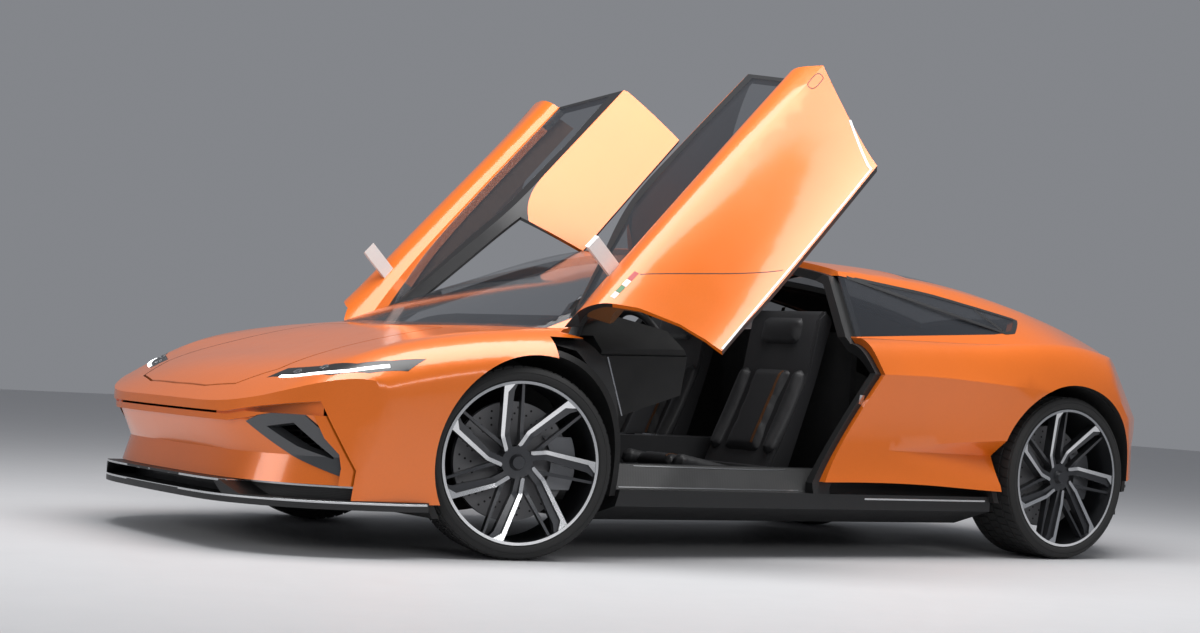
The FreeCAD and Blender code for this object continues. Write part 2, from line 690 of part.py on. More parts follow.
screen_space = deck_zone(SCREEN_PLAN_SHARES)
hood_pin_x = HOOD_PLAN_SHARES[-1][0] * HALF_LENGTH + size.hood_pin_ahead
hood_half = HOOD_PLAN_SHARES[-2][1] * HALF_WIDTH
hood_pin_z = surface_height(hood_pin_x, hood_half) - size.panel_wall / 2
hood_pin = sideways(size.hood_pin_radius, hood_pin_x, hood_half - size.hood_pin_reach,
                    hood_half + size.hood_pin_reach, hood_pin_z)
hood_bore = sideways(size.hood_pin_radius + size.running_fit, hood_pin_x,
                     hood_half - size.hood_pin_reach,
                     hood_half + size.hood_pin_reach + size.fit_gap, hood_pin_z)
headlamp_space = plan_zone(HEADLAMP_PLAN_SHARES).common(
    box(0, HALF_LENGTH, 0, HALF_WIDTH, size.lamp_foot, size.body_height))
headlamp_fit = plan_zone(HEADLAMP_PLAN_SHARES, -size.lamp_gap).common(headlamp_space)
fender_end = box(0, size.fender_end_ahead, -HALF_WIDTH, HALF_WIDTH, 0, size.fender_end_top)
under_nose = box(size.splitter_back - size.panel_gap, HALF_LENGTH, -HALF_WIDTH, HALF_WIDTH, 0,
                 size.splitter_under + size.splitter_wall + size.fit_gap)
front_part = fixed_shell.common(box(size.cowl_ahead, HALF_LENGTH, -HALF_WIDTH, HALF_WIDTH,
                                    0, size.body_height))
front_body = front_part.cut([
    deck_zone(HOOD_PLAN_SHARES, size.hood_rear_gap), screen_space.cut(lower_body(0)),
    front_arch, mirror(front_arch), fascia_zone(), fender_end, under_nose,
    headlamp_space, mirror(headlamp_space), hood_bore, mirror(hood_bore),
    hinge_relief, mirror(hinge_relief)])
keep("front_body", solids(front_body, SLIVER))
keep("headlamps", pair(solids(panel_shell.common(headlamp_fit), SLIVER)))
hood = solids(panel_shell.common(deck_zone(HOOD_PLAN_SHARES)), SLIVER)
keep("hood", hood.fuse([hood_pin, mirror(hood_pin)]))
door_sweep = door_zone(size.screen_gap)
screen = glass_shell.common(screen_space).cut([
    door_sweep, mirror(door_sweep), lower_body(-size.glass_fit), hinge_relief,
    mirror(hinge_relief), hinge_line, mirror(hinge_line)])
quarter = glass_shell.common(side_zone(QUARTER_WINDOW_SHARES, -size.glass_fit)).cut(door_hole)
keep("fixed_windows", Part.makeCompound([solids(screen, SLIVER), quarter, mirror(quarter)]))

# Tailgate with two tongues of the roof that carry its pins
gate_front = TAILGATE_PLAN_SHARES[0][0] * HALF_LENGTH
gate_pin_x = gate_front - size.tongue_pin_back
tongue_side = size.tongue_out - size.tongue_width / 2
gate_pin_z = surface_height(gate_pin_x, size.tongue_out) - size.panel_wall / 2
tongue = panel_shell.common(box(gate_pin_x, gate_front + size.panel_gap * 4, tongue_side,
                                tongue_side + size.tongue_width, size.deck_floor,
                                size.body_height))
tongue = tongue.fuse(sideways(size.tongue_nose_radius, gate_pin_x, tongue_side,
                              tongue_side + size.tongue_width, gate_pin_z))
pin_reach = size.tongue_width / 2 + size.tongue_clearance + size.tongue_pin_root
gate_pin = sideways(size.tongue_pin_radius, gate_pin_x, size.tongue_out - pin_reach,
                    size.tongue_out + pin_reach, gate_pin_z)
gate_bore = sideways(size.tongue_pin_radius + size.running_fit, gate_pin_x,
                     size.tongue_out - pin_reach, size.tongue_out + pin_reach, gate_pin_z)
notch = box(gate_pin_x - size.notch_back, gate_front + size.panel_gap,
            tongue_side - size.tongue_clearance,
            tongue_side + size.tongue_width + size.tongue_clearance, size.deck_floor,
            size.body_height + size.overrun)
gate_relief = sideways(size.gate_relief_radius, gate_pin_x, -TAILGATE_PLAN_SHARES[1][1] * HALF_WIDTH,
                       TAILGATE_PLAN_SHARES[1][1] * HALF_WIDTH, gate_pin_z)
rear_part = fixed_shell.common(box(-HALF_LENGTH, size.roof_front_ahead, -HALF_WIDTH, HALF_WIDTH,
                                   0, size.body_height))
quarter_space = side_zone(QUARTER_WINDOW_SHARES)


def rear_zone(shrink=0.0):
    """The space of the rear panel, as an outline seen from behind drawn along the car."""
    half = list(REAR_PANEL_SHARES[1:-1])
    points = [Vector(-HALF_LENGTH, y * HALF_WIDTH, z * size.body_height)
              for y, z in [(-y, z) for y, z in reversed(half)] + half]
    return grown(points, Vector(size.rear_panel_depth, 0, 0), -shrink)


scoop_wall = scoop_space(size.panel_wall).cut(scoop).common(skin_outer)
rear_body = rear_part.fuse([scoop_wall, mirror(scoop_wall)]).cut([
    deck_zone(TAILGATE_PLAN_SHARES, size.panel_gap), rear_arch, mirror(rear_arch),
    quarter_space, mirror(quarter_space), rear_zone(), scoop, mirror(scoop), door_hole,
    mirror(door_hole), gate_relief])
rear_body = rear_body.fuse([tongue, mirror(tongue)]).cut([gate_bore, mirror(gate_bore)])
keep("rear_body", solids(rear_body, SLIVER))
glass_opening = deck_zone(TAILGATE_GLASS_SHARES)
glass_fit_space = deck_zone(TAILGATE_GLASS_SHARES, -size.glass_fit)
tailgate = panel_shell.common(deck_zone(TAILGATE_PLAN_SHARES))
tailgate = tailgate.cut([glass_opening, notch, mirror(notch)])
keep("tailgate", solids(tailgate, SLIVER).fuse([gate_pin, mirror(gate_pin)]))
keep("tailgate_glass", solids(glass_shell.common(glass_fit_space), SLIVER))

# Tail: recessed panel with its diffuser, and the light bar
panel_plate = plan_prism(size.rear_panel_inset, 0, size.body_height).cut(
    plan_prism(size.rear_panel_inset + size.panel_wall, 0, size.body_height))
panel_plate = panel_plate.common(rear_zone(size.lamp_gap))
panel_plate = panel_plate.common(box(-HALF_LENGTH, 0, -HALF_WIDTH, HALF_WIDTH,
                                     size.rear_panel_foot, size.body_height))
rear_edge = -HALF_LENGTH + size.rear_panel_inset
ramp_points = [Vector(size.diffuser_front, -size.diffuser_half, size.diffuser_under),
               Vector(rear_edge, -size.diffuser_half, size.rear_panel_foot),
               Vector(rear_edge, -size.diffuser_half, size.rear_panel_foot + size.fin_wall),
               Vector(size.diffuser_front, -size.diffuser_half,
                      size.diffuser_under + size.fin_wall)]
fin_points = [ramp_points[0], ramp_points[1],
              Vector(rear_edge, -size.diffuser_half, size.diffuser_under)]
diffuser = [prism(ramp_points, Vector(0, 2 * size.diffuser_half, 0))]
fin_count = int(2 * size.diffuser_half // size.fin_pitch)
fins_span = fin_count * size.fin_pitch + size.fin_wall
for fin_index in range(fin_count + 1):
    fin = prism(fin_points, Vector(0, size.fin_wall, 0))
    fin.translate(Vector(0, size.diffuser_half - fins_span / 2 + fin_index * size.fin_pitch, 0))
    diffuser.append(fin)
rear_panel = panel_plate.fuse(diffuser).cut([rear_roll, mirror(rear_roll)])
keep("rear_panel", solids(rear_panel, SLIVER))
lamp_bar = plan_prism(size.tail_lamp_inset, size.tail_lamp_foot, size.tail_lamp_top).cut(
    plan_prism(size.rear_panel_inset - size.fit_gap, 0, size.body_height))
lamp_bar = lamp_bar.common(box(-HALF_LENGTH, 0, -size.tail_lamp_half, size.tail_lamp_half, 0,
                               size.body_height)).common(rear_zone(size.lamp_gap))
keep("tail_lamps", solids(lamp_bar, SLIVER))

# Sills, then the frames round both door openings behind the skin
sill_outline = [Vector(size.sill_back, y, z) for y, z in (
    (size.sill_outer, size.sill_lip_top), (size.sill_outer, size.sill_under),
    (size.sill_inner, size.floor_under), (size.sill_inner, size.sill_top),
    (size.sill_inner + size.sill_flat, size.sill_top),
    (size.sill_outer - size.sill_ledge, size.sill_lip_top))]
sill = prism(sill_outline, Vector(size.sill_front - size.sill_back, 0, 0))
keep("sills", pair(solids(sill.cut([front_roll, rear_roll, scoop_seat]), SLIVER)))
ring = door_zone(size.ring_out).cut(door_zone(-size.ring_in))
ring = frame_shell.common(ring).common(box(-HALF_LENGTH, HALF_LENGTH, 0, HALF_WIDTH,
                                           size.sill_lip_top, size.body_height))
ring = ring.cut([front_roll, rear_roll, sill, hinge_relief, scoop_seat])
ring = solids(ring, SLIVER).fuse(hinge_knuckle).cut(hinge_bore)
keep("aperture_frames", pair(solids(ring, SLIVER)))


def fascia_core(bow):
    """A block whose front is hollowed between the beak and the splitter, moved in by bow."""
    return curve_loft(NOSE_PLAN_SHARES,
                      ((size.fascia_top_inset + bow, size.fascia_top),
                       (size.fascia_waist_inset + bow, size.fascia_waist),
                       (size.fascia_foot_inset + bow, size.fascia_foot)), size.fascia_back)


intake = front_zone(INTAKE_FRONT_SHARES)
lower_outer = lower_body(0)
fascia_shell = lower_outer.common(fascia_core(0)).cut(
    lower_body(size.panel_wall).common(fascia_core(size.panel_wall)))
flange_band = fascia_zone(size.beak_slot).cut(fascia_zone(size.beak_slot + size.flange_width))
flange = plan_prism(size.flange_inset, size.fascia_foot, size.fascia_top).cut(
    fascia_core(size.panel_wall / 2)).common(lower_outer).common(flange_band)
fascia = fascia_shell.common(box(0, HALF_LENGTH, -HALF_WIDTH, HALF_WIDTH, size.fascia_foot,
                                 size.fascia_top)).fuse(flange)
fascia = fascia.common(fascia_zone(size.beak_slot)).cut([intake, mirror(intake)])
keep("front_fascia", solids(fascia, SLIVER))
bezel = fascia_core(-size.bezel_proud).cut(fascia_core(size.panel_wall * 2))
bezel = bezel.common(front_zone(INTAKE_FRONT_SHARES, size.lamp_gap).cut(
    front_zone(INTAKE_FRONT_SHARES, size.bezel_width)))
keep("intake_bezels", pair(solids(bezel.common(lower_outer), SLIVER)))



def splitter_block(inset):
    """The space over the splitter's plan, moved in by inset, up to the foot of the fascia."""
    curve, right, left = plan_curve(SPLITTER_PLAN_SHARES, inset, size.splitter_under)
    corners = [left, Vector(size.splitter_back, left.y, size.splitter_under),
               Vector(size.splitter_back, right.y, size.splitter_under), right]
    lines = [Part.LineSegment(a, b).toShape() for a, b in zip(corners, corners[1:])]
    face = Part.Face(Part.Wire(Part.__sortEdges__([curve] + lines)))
    return face.extrude(Vector(0, 0, size.fascia_foot))


# Splitter under the nose with its front duct, and the risers up to the fascia at its sides
splitter = splitter_block(0).common(front_zone(across_middle(SPLITTER_FRONT_SHARES)))
duct = front_zone(across_middle(DUCT_FRONT_SHARES)).cut(splitter_block(size.duct_depth))
riser = plan_prism(size.riser_inset, size.splitter_under, size.fascia_foot - size.lamp_gap).cut(
    plan_prism(size.riser_inset + size.riser_wall, 0, size.body_height))
riser = riser.common(box(size.splitter_back, HALF_LENGTH, -HALF_WIDTH, HALF_WIDTH, 0,
                         size.body_height)).common(lower_body(size.panel_wall + size.fit_gap))
splitter = splitter.fuse(riser).cut([duct, front_roll, mirror(front_roll)])
keep("front_splitter", solids(splitter, SLIVER))

# Floor and wheel housings
keep("floor", box(size.floor_back, size.floor_front, -size.sill_inner, size.sill_inner,
                  size.floor_under, size.floor_top))


def housing(axle, hollow_radius, inner):
    """A wheel housing: an arched wall over the tyre, closed on its inner side."""
    outer_roll = across(size.well_roll_radius, axle, size.tyre_radius, inner,
                        size.housing_outer)
    hollow = across(hollow_radius, axle, size.tyre_radius, inner + size.panel_wall,
                    HALF_WIDTH + size.overrun)
    half_length = size.well_roll_radius + size.overrun
    lower = box(axle - half_length, axle + half_length, 0, HALF_WIDTH + size.overrun,
                -size.overrun, size.floor_under)
    return solids(outer_roll.cut([hollow, lower]).common(skin_seat), SLIVER)


front_housing = housing(FRONT_AXLE, size.well_radius, size.housing_inner - size.panel_wall)
rear_housing = housing(REAR_AXLE, size.arch_radius, size.rear_housing_inner).cut(scoop_seat)
keep("wheel_housings", Part.makeCompound([front_housing, mirror(front_housing), rear_housing,
                                          mirror(rear_housing)]))

# Battery block, bulkheads, luggage trays, dashboard with console and column, seats
keep("battery", box(size.battery_back, size.battery_front, -size.battery_half_width,
                    size.battery_half_width, size.floor_top, size.battery_top))
rear_bulkhead = box(size.bulkhead_back, size.bulkhead_back + size.bulkhead_wall,
                    -size.sill_inner, size.sill_inner, size.floor_top, size.bulkhead_top)
front_bulkhead = box(size.front_wall_back, size.front_wall_back + size.bulkhead_wall,
                     -size.front_wall_half, size.front_wall_half, size.floor_under,
                     size.front_wall_top).cut(sub_parts["floor"].Shape)
keep("bulkheads", Part.makeCompound([rear_bulkhead, front_bulkhead]))


def tray(share_pairs, half):
    """An open luggage tray over a side outline, reaching out to both wheel housings."""
    outer = grown(side(share_pairs, -half), Vector(0, 2 * half, 0), 0)
    inner = grown(side(share_pairs, size.tray_wall - half),
                  Vector(0, 2 * (half - size.tray_wall), 0), -size.tray_wall)
    raised = inner.copy()
    raised.translate(Vector(0, 0, 2 * size.tray_wall))
    return outer.cut([inner, raised])


front_tray = tray(FRONT_TRAY_SIDE_SHARES, size.housing_inner - size.panel_wall - size.fit_gap)
rear_tray = tray(REAR_TRAY_SIDE_SHARES, size.rear_housing_inner - size.fit_gap)
keep("luggage_trays", Part.makeCompound([front_tray, rear_tray]))

dash_side = [Vector(x * HALF_LENGTH, -size.dash_half, z * size.body_height)
             for x, z in DASH_SIDE_SHARES]
dash = prism(dash_side, Vector(0, 2 * size.dash_half, 0)).common(
    body(size.trim_depth + size.panel_gap))
console = box(size.console_back, size.front_wall_back - size.fit_gap, -size.console_half,
              size.console_half, size.floor_top, size.console_top)
console_riser = box(size.front_wall_back - size.console_half * 2,
                    size.front_wall_back - size.fit_gap, -size.console_half,
                    size.console_half, size.floor_top, DASH_SIDE_SHARES[1][1] * size.body_height)
column_way = Vector(-size.column_run, 0, size.column_rise).normalize()
column_top = Vector(size.steering_ahead, size.seat_middle_out, size.steering_up)
column = Part.makeCylinder(size.column_radius, size.column_length,
                           column_top - column_way * (size.column_length + size.fit_gap),
                           column_way)
dashboard = solids(dash, SLIVER).fuse([console, console_riser, column])
keep("dashboard", solids(dashboard, SLIVER))


def seat():
    """A one-piece bucket seat on the left: a cushion that bends up into back and headrest."""
    profile = [Vector(x * HALF_LENGTH, size.seat_middle_out - size.seat_half,
                      z * size.body_height) for x, z in SEAT_SIDE_SHARES]
    rail = box(size.seat_rail_back, size.seat_rail_front,
               size.seat_middle_out - size.seat_rail_half,
               size.seat_middle_out + size.seat_rail_half,
               size.floor_top + size.fit_gap, size.seat_rail_top)
    return prism(profile, Vector(0, 2 * size.seat_half, 0)).fuse(rail)


keep("seats", pair(seat()))

# Steering wheel
wheel_ring = Part.makeTorus(size.steering_radius, size.steering_grip, Vector(0, 0, 0), Z_AXIS)
boss = Part.makeCylinder(size.steering_boss, size.steering_grip * 2)
bar = box(-size.steering_grip, size.steering_grip, -size.steering_radius, size.steering_radius,
          0, size.steering_grip)
steering = wheel_ring.fuse([boss, bar])
steering.Placement = FreeCAD.Placement(column_top, FreeCAD.Rotation(Z_AXIS, column_way))
keep("steering_wheel", steering)


def bound(text):
    """An expression with the sheet's name before each of its sizes."""
    return " ".join("Sizes." + word if word in DRIVING else word for word in text.split())


def evaluate(text):
    """The value of an expression of the sheet's sizes."""
    return float(sheet.evalExpression(bound(text)))


def sketch_on(body_object, plane_role, name):
    """A sketch attached to one of its body's own origin planes."""
    sketch = body_object.newObject("Sketcher::SketchObject", name)
    plane = [part for part in body_object.Origin.OriginFeatures if part.Role == plane_role][0]
    sketch.AttachmentSupport = [(plane, "")]
    sketch.MapMode = "FlatFace"
    return sketch


def outline(sketch, corners):
    """A closed straight outline whose corners are bound to expressions of the sheet's sizes."""
    points = [Vector(evaluate(along), evaluate(up), 0) for along, up in corners]
    count = len(points)
    for index, point in enumerate(points):
        sketch.addGeometry(Part.LineSegment(point, points[(index + 1) % count]), False)
    for index in range(count):
        sketch.addConstraint(Sketcher.Constraint("Coincident", index, 2, (index + 1) % count, 1))
    for index, (along, up) in enumerate(corners):
        for kind, text, value in (("DistanceX", along, points[index].x),
                                  ("DistanceY", up, points[index].y)):
            number = sketch.addConstraint(Sketcher.Constraint(kind, index, 1, value))
            sketch.setExpression("Constraints[%d]" % number, bound(text))


def new_body(label):
    """An empty body that will be written as a sub-part."""
    body_object = doc.addObject("PartDesign::Body", label)
    body_object.Label = label
    sub_parts[label] = body_object
    return body_object


def revolved(body_object, name, corners):
    """A full turn of an outline about the body's own Y axis: corners are Y and radius."""
    sketch = sketch_on(body_object, "YZ_Plane", name + "_outline")
    outline(sketch, corners)
    turn = body_object.newObject("PartDesign::Revolution", name)
    turn.Profile = sketch
    turn.ReferenceAxis = (sketch, ["H_Axis"])
    turn.Angle = 360
    return turn


def grooved(body_object, name, corners):
    """A full-turn cut of an outline about the body's own Y axis: corners are Y and radius."""
    sketch = sketch_on(body_object, "YZ_Plane", name + "_outline")
    outline(sketch, corners)
    groove = body_object.newObject("PartDesign::Groove", name)
    groove.Profile = sketch
    groove.ReferenceAxis = (sketch, ["H_Axis"])
    groove.Angle = 360
    doc.recompute()


def spoke_pad(body_object, name, width, share_pairs):
    """A pad right through the wheel over the outline of one spoke whose tip points to -X."""
    corners = []
    for towards, aside in share_pairs:
        sign = "- " if aside < 0 else ""
        corners.append(("- rim_radius * %s" % towards, "%srim_radius * %s" % (sign, abs(aside))))
    sketch = sketch_on(body_object, "XZ_Plane", name + "_outline")
    outline(sketch, corners)
    pad = body_object.newObject("PartDesign::Pad", name)
    pad.Profile = sketch
    pad.Midplane = True
    pad.setExpression("Length", bound("%s + rim_wall * 2" % width))
    doc.recompute()
    return pad


def patterned(body_object, features, name, count):
    """The features repeated round the body's own Y axis."""
    pattern = body_object.newObject("PartDesign::PolarPattern", name)
    pattern.Originals = features
    pattern.Axis = ([part for part in body_object.Origin.OriginFeatures
                     if part.Role == "Y_Axis"][0], [""])
    pattern.Angle = 360
    pattern.Occurrences = count
    body_object.Tip = pattern
    doc.recompute()
    return pattern


def wheel_placement(axle, out, turn):
    """Where a wheel stands: turned about the upright through its centre."""
    return FreeCAD.Placement(Vector(axle, out, size.tyre_radius),
                             FreeCAD.Rotation(Z_AXIS, turn))


def tyre(label, width, placement):
    """A low-profile tyre: an open ring with rounded shoulders."""
    body_object = new_body(label)
    revolved(body_object, "carcass", (
        ("- %s / 2 + tyre_bulge" % width, "rim_radius + fit_gap"),
        ("- %s / 2" % width, "rim_radius + tyre_bulge * 2"),
        ("- %s / 2 + tyre_bulge" % width, "tyre_radius - tyre_shoulder"),
        ("- %s / 2 + tyre_shoulder * 2" % width, "tyre_radius"),
        ("%s / 2 - tyre_shoulder * 2" % width, "tyre_radius"),
        ("%s / 2 - tyre_bulge" % width, "tyre_radius - tyre_shoulder"),
        ("%s / 2" % width, "rim_radius + tyre_bulge * 2"),
        ("%s / 2 - tyre_bulge" % width, "rim_radius + fit_gap")))
    body_object.Placement = placement


def rim(label, width, placement):
    """A dished alloy rim: ridged spokes with lower flanks, thin spokes between, hub and barrel."""
    body_object = new_body(label)
    revolved(body_object, "centre", (
        ("- %s / 2" % width, "hub_bore"),
        ("%s / 2" % width, "hub_bore"),
        ("%s / 2" % width, "hub_radius"),
        ("- %s / 2" % width, "hub_radius")))
    doc.recompute()
    flank = spoke_pad(body_object, "flank", width, FLANK_SHARES)
    thin = spoke_pad(body_object, "thin_spoke", width, THIN_SPOKE_SHARES)
    patterned(body_object, [flank, thin], "flanks", SPOKE_COUNT)
    ahead = "%s / 2 + rim_wall * 2" % width
    behind = "- %s / 2 - rim_wall * 2" % width
    grooved(body_object, "low_dish", (
        ("%s / 2 - hub_recess" % width, "hub_bore / 2"),
        ("%s / 2 - hub_recess" % width, "hub_radius"),
        ("%s / 2 - dish_recess - flank_drop" % width, "dish_radius"),
        ("%s / 2 - lip_recess - flank_drop" % width, "rim_radius + rim_wall"),
        (ahead, "rim_radius + rim_wall"),
        (ahead, "hub_bore / 2")))
    ridge = spoke_pad(body_object, "ridge", width, RIDGE_SHARES)
    patterned(body_object, [ridge], "ridges", SPOKE_COUNT)
    grooved(body_object, "dish", (
        ("%s / 2 - hub_recess + flank_drop / 2" % width, "hub_bore / 2"),
        ("%s / 2 - hub_recess + flank_drop / 2" % width, "hub_radius"),
        ("%s / 2 - dish_recess" % width, "dish_radius"),
        ("%s / 2 - lip_recess" % width, "rim_radius + rim_wall"),
        (ahead, "rim_radius + rim_wall"),
        (ahead, "hub_bore / 2")))
    grooved(body_object, "back", (
        ("%s / 2 - hub_recess - hub_depth" % width, "hub_bore / 2"),
        ("%s / 2 - hub_recess - hub_depth" % width, "hub_radius"),
        ("%s / 2 - lip_recess - spoke_depth" % width, "rim_radius + rim_wall"),
        (behind, "rim_radius + rim_wall"),
        (behind, "hub_bore / 2")))
    revolved(body_object, "barrel", (
        ("- %s / 2 + tyre_bulge" % width, "rim_radius"),
        ("%s / 2 - lip_recess" % width, "rim_radius"),
        ("%s / 2 - lip_recess" % width, "rim_radius - rim_wall"),
        ("- %s / 2 + tyre_bulge" % width, "rim_radius - rim_wall")))
    revolved(body_object, "nut", (
        ("%s / 2 - hub_recess - rim_wall" % width, "0"),
        ("%s / 2 - hub_recess + nut_height" % width, "0"),
        ("%s / 2 - hub_recess + nut_height" % width, "hub_bore"),
        ("%s / 2 - hub_recess" % width, "nut_radius"),
        ("%s / 2 - hub_recess - rim_wall" % width, "nut_radius")))
    body_object.Placement = placement


def brake_disc(label, width, placement):
    """A brake disc with its hat, and the spindle that runs in the upright behind it."""
    spindle_end = ("%s / 2 - disc_set_in - disc_wall - panel_gap - knuckle_depth" % width)
    body_object = new_body(label)
    revolved(body_object, "disc", (
        (spindle_end, "0"),
        ("%s / 2 - hub_recess - hub_depth - fit_gap" % width, "0"),
        ("%s / 2 - hub_recess - hub_depth - fit_gap" % width, "hub_radius"),
        ("%s / 2 - disc_set_in" % width, "hub_radius"),
        ("%s / 2 - disc_set_in" % width, "disc_radius"),
        ("%s / 2 - disc_set_in - disc_wall" % width, "disc_radius"),
        ("%s / 2 - disc_set_in - disc_wall" % width, "spindle_radius"),
        (spindle_end, "spindle_radius")))
    body_object.Placement = placement


def upright(width):
    """An upright behind the disc with the caliper that reaches round the disc's rear edge."""
    face = width / 2 - size.disc_set_in - size.disc_wall - size.panel_gap
    back = face - size.knuckle_depth
    middle = face - size.knuckle_depth / 2
    block = sideways(size.hub_radius, 0, back, face, 0)
    block = block.fuse(box(-size.knuckle_half, size.knuckle_half, back, face,
                           -size.knuckle_reach, size.knuckle_reach))
    outer_face = face + size.disc_wall + size.caliper_wall + size.panel_gap
    band = sideways(size.disc_radius + size.caliper_wall, 0, middle, outer_face, 0)
    band = band.cut(sideways(size.caliper_inner, 0, back, outer_face, 0))
    band = band.common(box(-size.disc_radius * 2, -size.caliper_inner / 2, -size.disc_radius,
                           outer_face, -size.caliper_half, size.caliper_half))
    slot = sideways(size.disc_radius + size.panel_gap, 0, face + size.panel_gap / 2,
                    face + size.disc_wall + size.panel_gap * 1.5, 0)
    bridge = box(-size.caliper_inner - size.caliper_wall, 0, back, middle, -size.knuckle_half,
                 size.knuckle_half)
    shape = block.fuse([band.cut(slot), bridge])
    return shape.cut(sideways(size.spindle_radius + size.running_fit, 0, back, face, 0))


def wishbone(root_out, pin_x, pin_out, height):
    """A flat A-arm from the wheel housing's inner wall out to one end of an upright."""
    root = [Vector(pin_x - size.arm_root_half, root_out, height),
            Vector(pin_x + size.arm_root_half, root_out, height),
            Vector(pin_x, pin_out + size.kingpin_radius * 2, height)]
    arm = prism(root, Vector(0, 0, size.arm_wall))
    arm = arm.fuse(Part.makeCylinder(size.kingpin_radius * 2, size.arm_wall,
                                     Vector(pin_x, pin_out, height), Z_AXIS))
    return arm


def wheel_set(name, width_name, placement):
    """The tyre, rim and disc of one wheel."""
    tyre("tyre_" + name, width_name, placement)
    rim("rim_" + name, width_name, placement)
    brake_disc("disc_" + name, width_name, placement)


front_width = size.front_tyre_width
rear_width = size.rear_tyre_width
kingpin_local = Vector(0, -KINGPIN_INSET, 0)
carriers = []
for side_name, sign in (("left", 1), ("right", -1)):
    facing = 0 if sign > 0 else 180
    turn = FreeCAD.Rotation(Z_AXIS, facing - size.steer_angle)
    kingpin = Vector(FRONT_AXLE, sign * KINGPIN_OUT, size.tyre_radius)
    front_place = FreeCAD.Placement(kingpin - turn.multVec(kingpin_local), turn)
    wheel_set("front_" + side_name, "front_tyre_width", front_place)
    front_upright = upright(front_width)
    rear_upright = upright(rear_width)
    if sign < 0:
        front_upright = front_upright.mirror(Vector(0, 0, 0), X_AXIS)
        rear_upright = rear_upright.mirror(Vector(0, 0, 0), X_AXIS)
    front_upright = front_upright.cut(Part.makeCylinder(
        size.kingpin_radius + size.running_fit, size.knuckle_reach * 2,
        kingpin_local - Vector(0, 0, size.knuckle_reach), Z_AXIS).cut(
            sideways(size.spindle_radius * 2, 0, -front_width, front_width, 0)))
    front_upright.Placement = front_place
    keep("knuckle_front_" + side_name, front_upright)
    rear_place = wheel_placement(REAR_AXLE, sign * (size.wheel_face_out - rear_width / 2), facing)
    wheel_set("rear_" + side_name, "rear_tyre_width", rear_place)
    rear_upright.Placement = rear_place
    carriers.append(rear_upright)
keep("rear_hub_carriers", Part.makeCompound(carriers))

# Wishbones: the front ones carry stub pins for the steering knuckles
arms = []
rear_pin_out = size.wheel_face_out - KINGPIN_BACK
rear_root_out = size.rear_housing_inner + size.panel_wall + size.fit_gap
for axle, pin_out, root_out, steered in (
        (FRONT_AXLE, KINGPIN_OUT, size.housing_inner + size.fit_gap, True),
        (REAR_AXLE, rear_pin_out, rear_root_out, False)):
    for up in (1, -1):
        face_z = size.tyre_radius + up * (size.knuckle_reach + size.fit_gap)
        height = face_z if up > 0 else face_z - size.arm_wall
        arm = wishbone(root_out, axle, pin_out, height)
        if steered:
            start = size.tyre_radius + (size.spindle_radius * 2 if up > 0
                                        else -size.knuckle_reach - size.arm_wall)
            reach = size.knuckle_reach - size.spindle_radius * 2 + size.arm_wall
            arm = arm.fuse(Part.makeCylinder(size.kingpin_radius, reach,
                                             Vector(axle, pin_out, start), Z_AXIS))
        arms.append(arm)
keep("wishbones", Part.makeCompound(arms + [mirror(arm) for arm in arms]))

doc.recompute()
os.makedirs("parts", exist_ok=True)
for label, feature in sub_parts.items():
    bad = [word for word in ("Invalid", "Error") if word in feature.State]
    if bad or feature.Shape.isNull() or not feature.Shape.isValid():
        raise RuntimeError("%s is not sound: %s" % (label, bad))
for label, feature in sub_parts.items():
    feature.Shape.exportStep("parts/%s.step" % label)
    print(label, len(feature.Shape.Solids), round(feature.Shape.Volume / 1e6, 2))
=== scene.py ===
"""Looks of a two-seat supercar: finishes, small parts, lights and camera round its frame."""

import logging
import math
from dataclasses import dataclass, field
from enum import Enum
from typing import Callable, Iterable, Sequence

import bmesh
import bpy
from mathutils import Matrix, Vector
from mathutils.bvhtree import BVHTree


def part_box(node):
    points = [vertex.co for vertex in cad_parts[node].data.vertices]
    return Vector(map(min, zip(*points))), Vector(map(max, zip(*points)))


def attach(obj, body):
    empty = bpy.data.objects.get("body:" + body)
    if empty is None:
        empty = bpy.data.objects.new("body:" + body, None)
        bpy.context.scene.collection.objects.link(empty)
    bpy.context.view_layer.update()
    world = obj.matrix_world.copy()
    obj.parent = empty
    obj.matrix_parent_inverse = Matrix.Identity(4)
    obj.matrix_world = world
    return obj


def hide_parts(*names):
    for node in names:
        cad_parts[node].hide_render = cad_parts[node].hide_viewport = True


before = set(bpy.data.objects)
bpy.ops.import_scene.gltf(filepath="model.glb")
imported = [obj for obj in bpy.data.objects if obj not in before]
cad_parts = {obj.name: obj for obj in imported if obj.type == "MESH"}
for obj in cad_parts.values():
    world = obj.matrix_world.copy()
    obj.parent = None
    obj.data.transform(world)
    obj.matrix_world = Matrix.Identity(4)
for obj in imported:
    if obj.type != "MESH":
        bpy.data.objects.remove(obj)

LOG = logging.getLogger("supercar")
Colour = tuple[float, float, float]
Point = tuple[float, float, float]
Pair = tuple[float, float]
Outline = Sequence[Pair]
Run = tuple[list[Vector], list[Vector]]
Chooser = Callable[[bmesh.types.BMFace], int]
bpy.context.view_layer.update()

# The angles in degrees up to which pieces are shaded smooth.
SHADE_ANGLE = 32.0
PANEL_ANGLE = 30.0
BEVEL_ANGLE = 40.0
PAD_ANGLE = 60.0

# The distance in metres below which two points count as one, in new pieces and in CAD nodes.
SAME_POINT = 1e-6
SAME_CAD_POINT = 2e-5

# What all finishes share: the cells a metre in which colour and gloss wander, the share of the
# roughness that always stays and the share that wanders, the share of the colour that is left
# where the grain is darkest, and the roughness of the lacquer.
WANDER_CELLS = 3.5
SMEAR_CELLS = 11.0
SMEAR_LEAST = 0.85
SMEAR_SPAN = 0.3
GRAIN_SHADE = 0.45
LACQUER_ROUGHNESS = 0.09

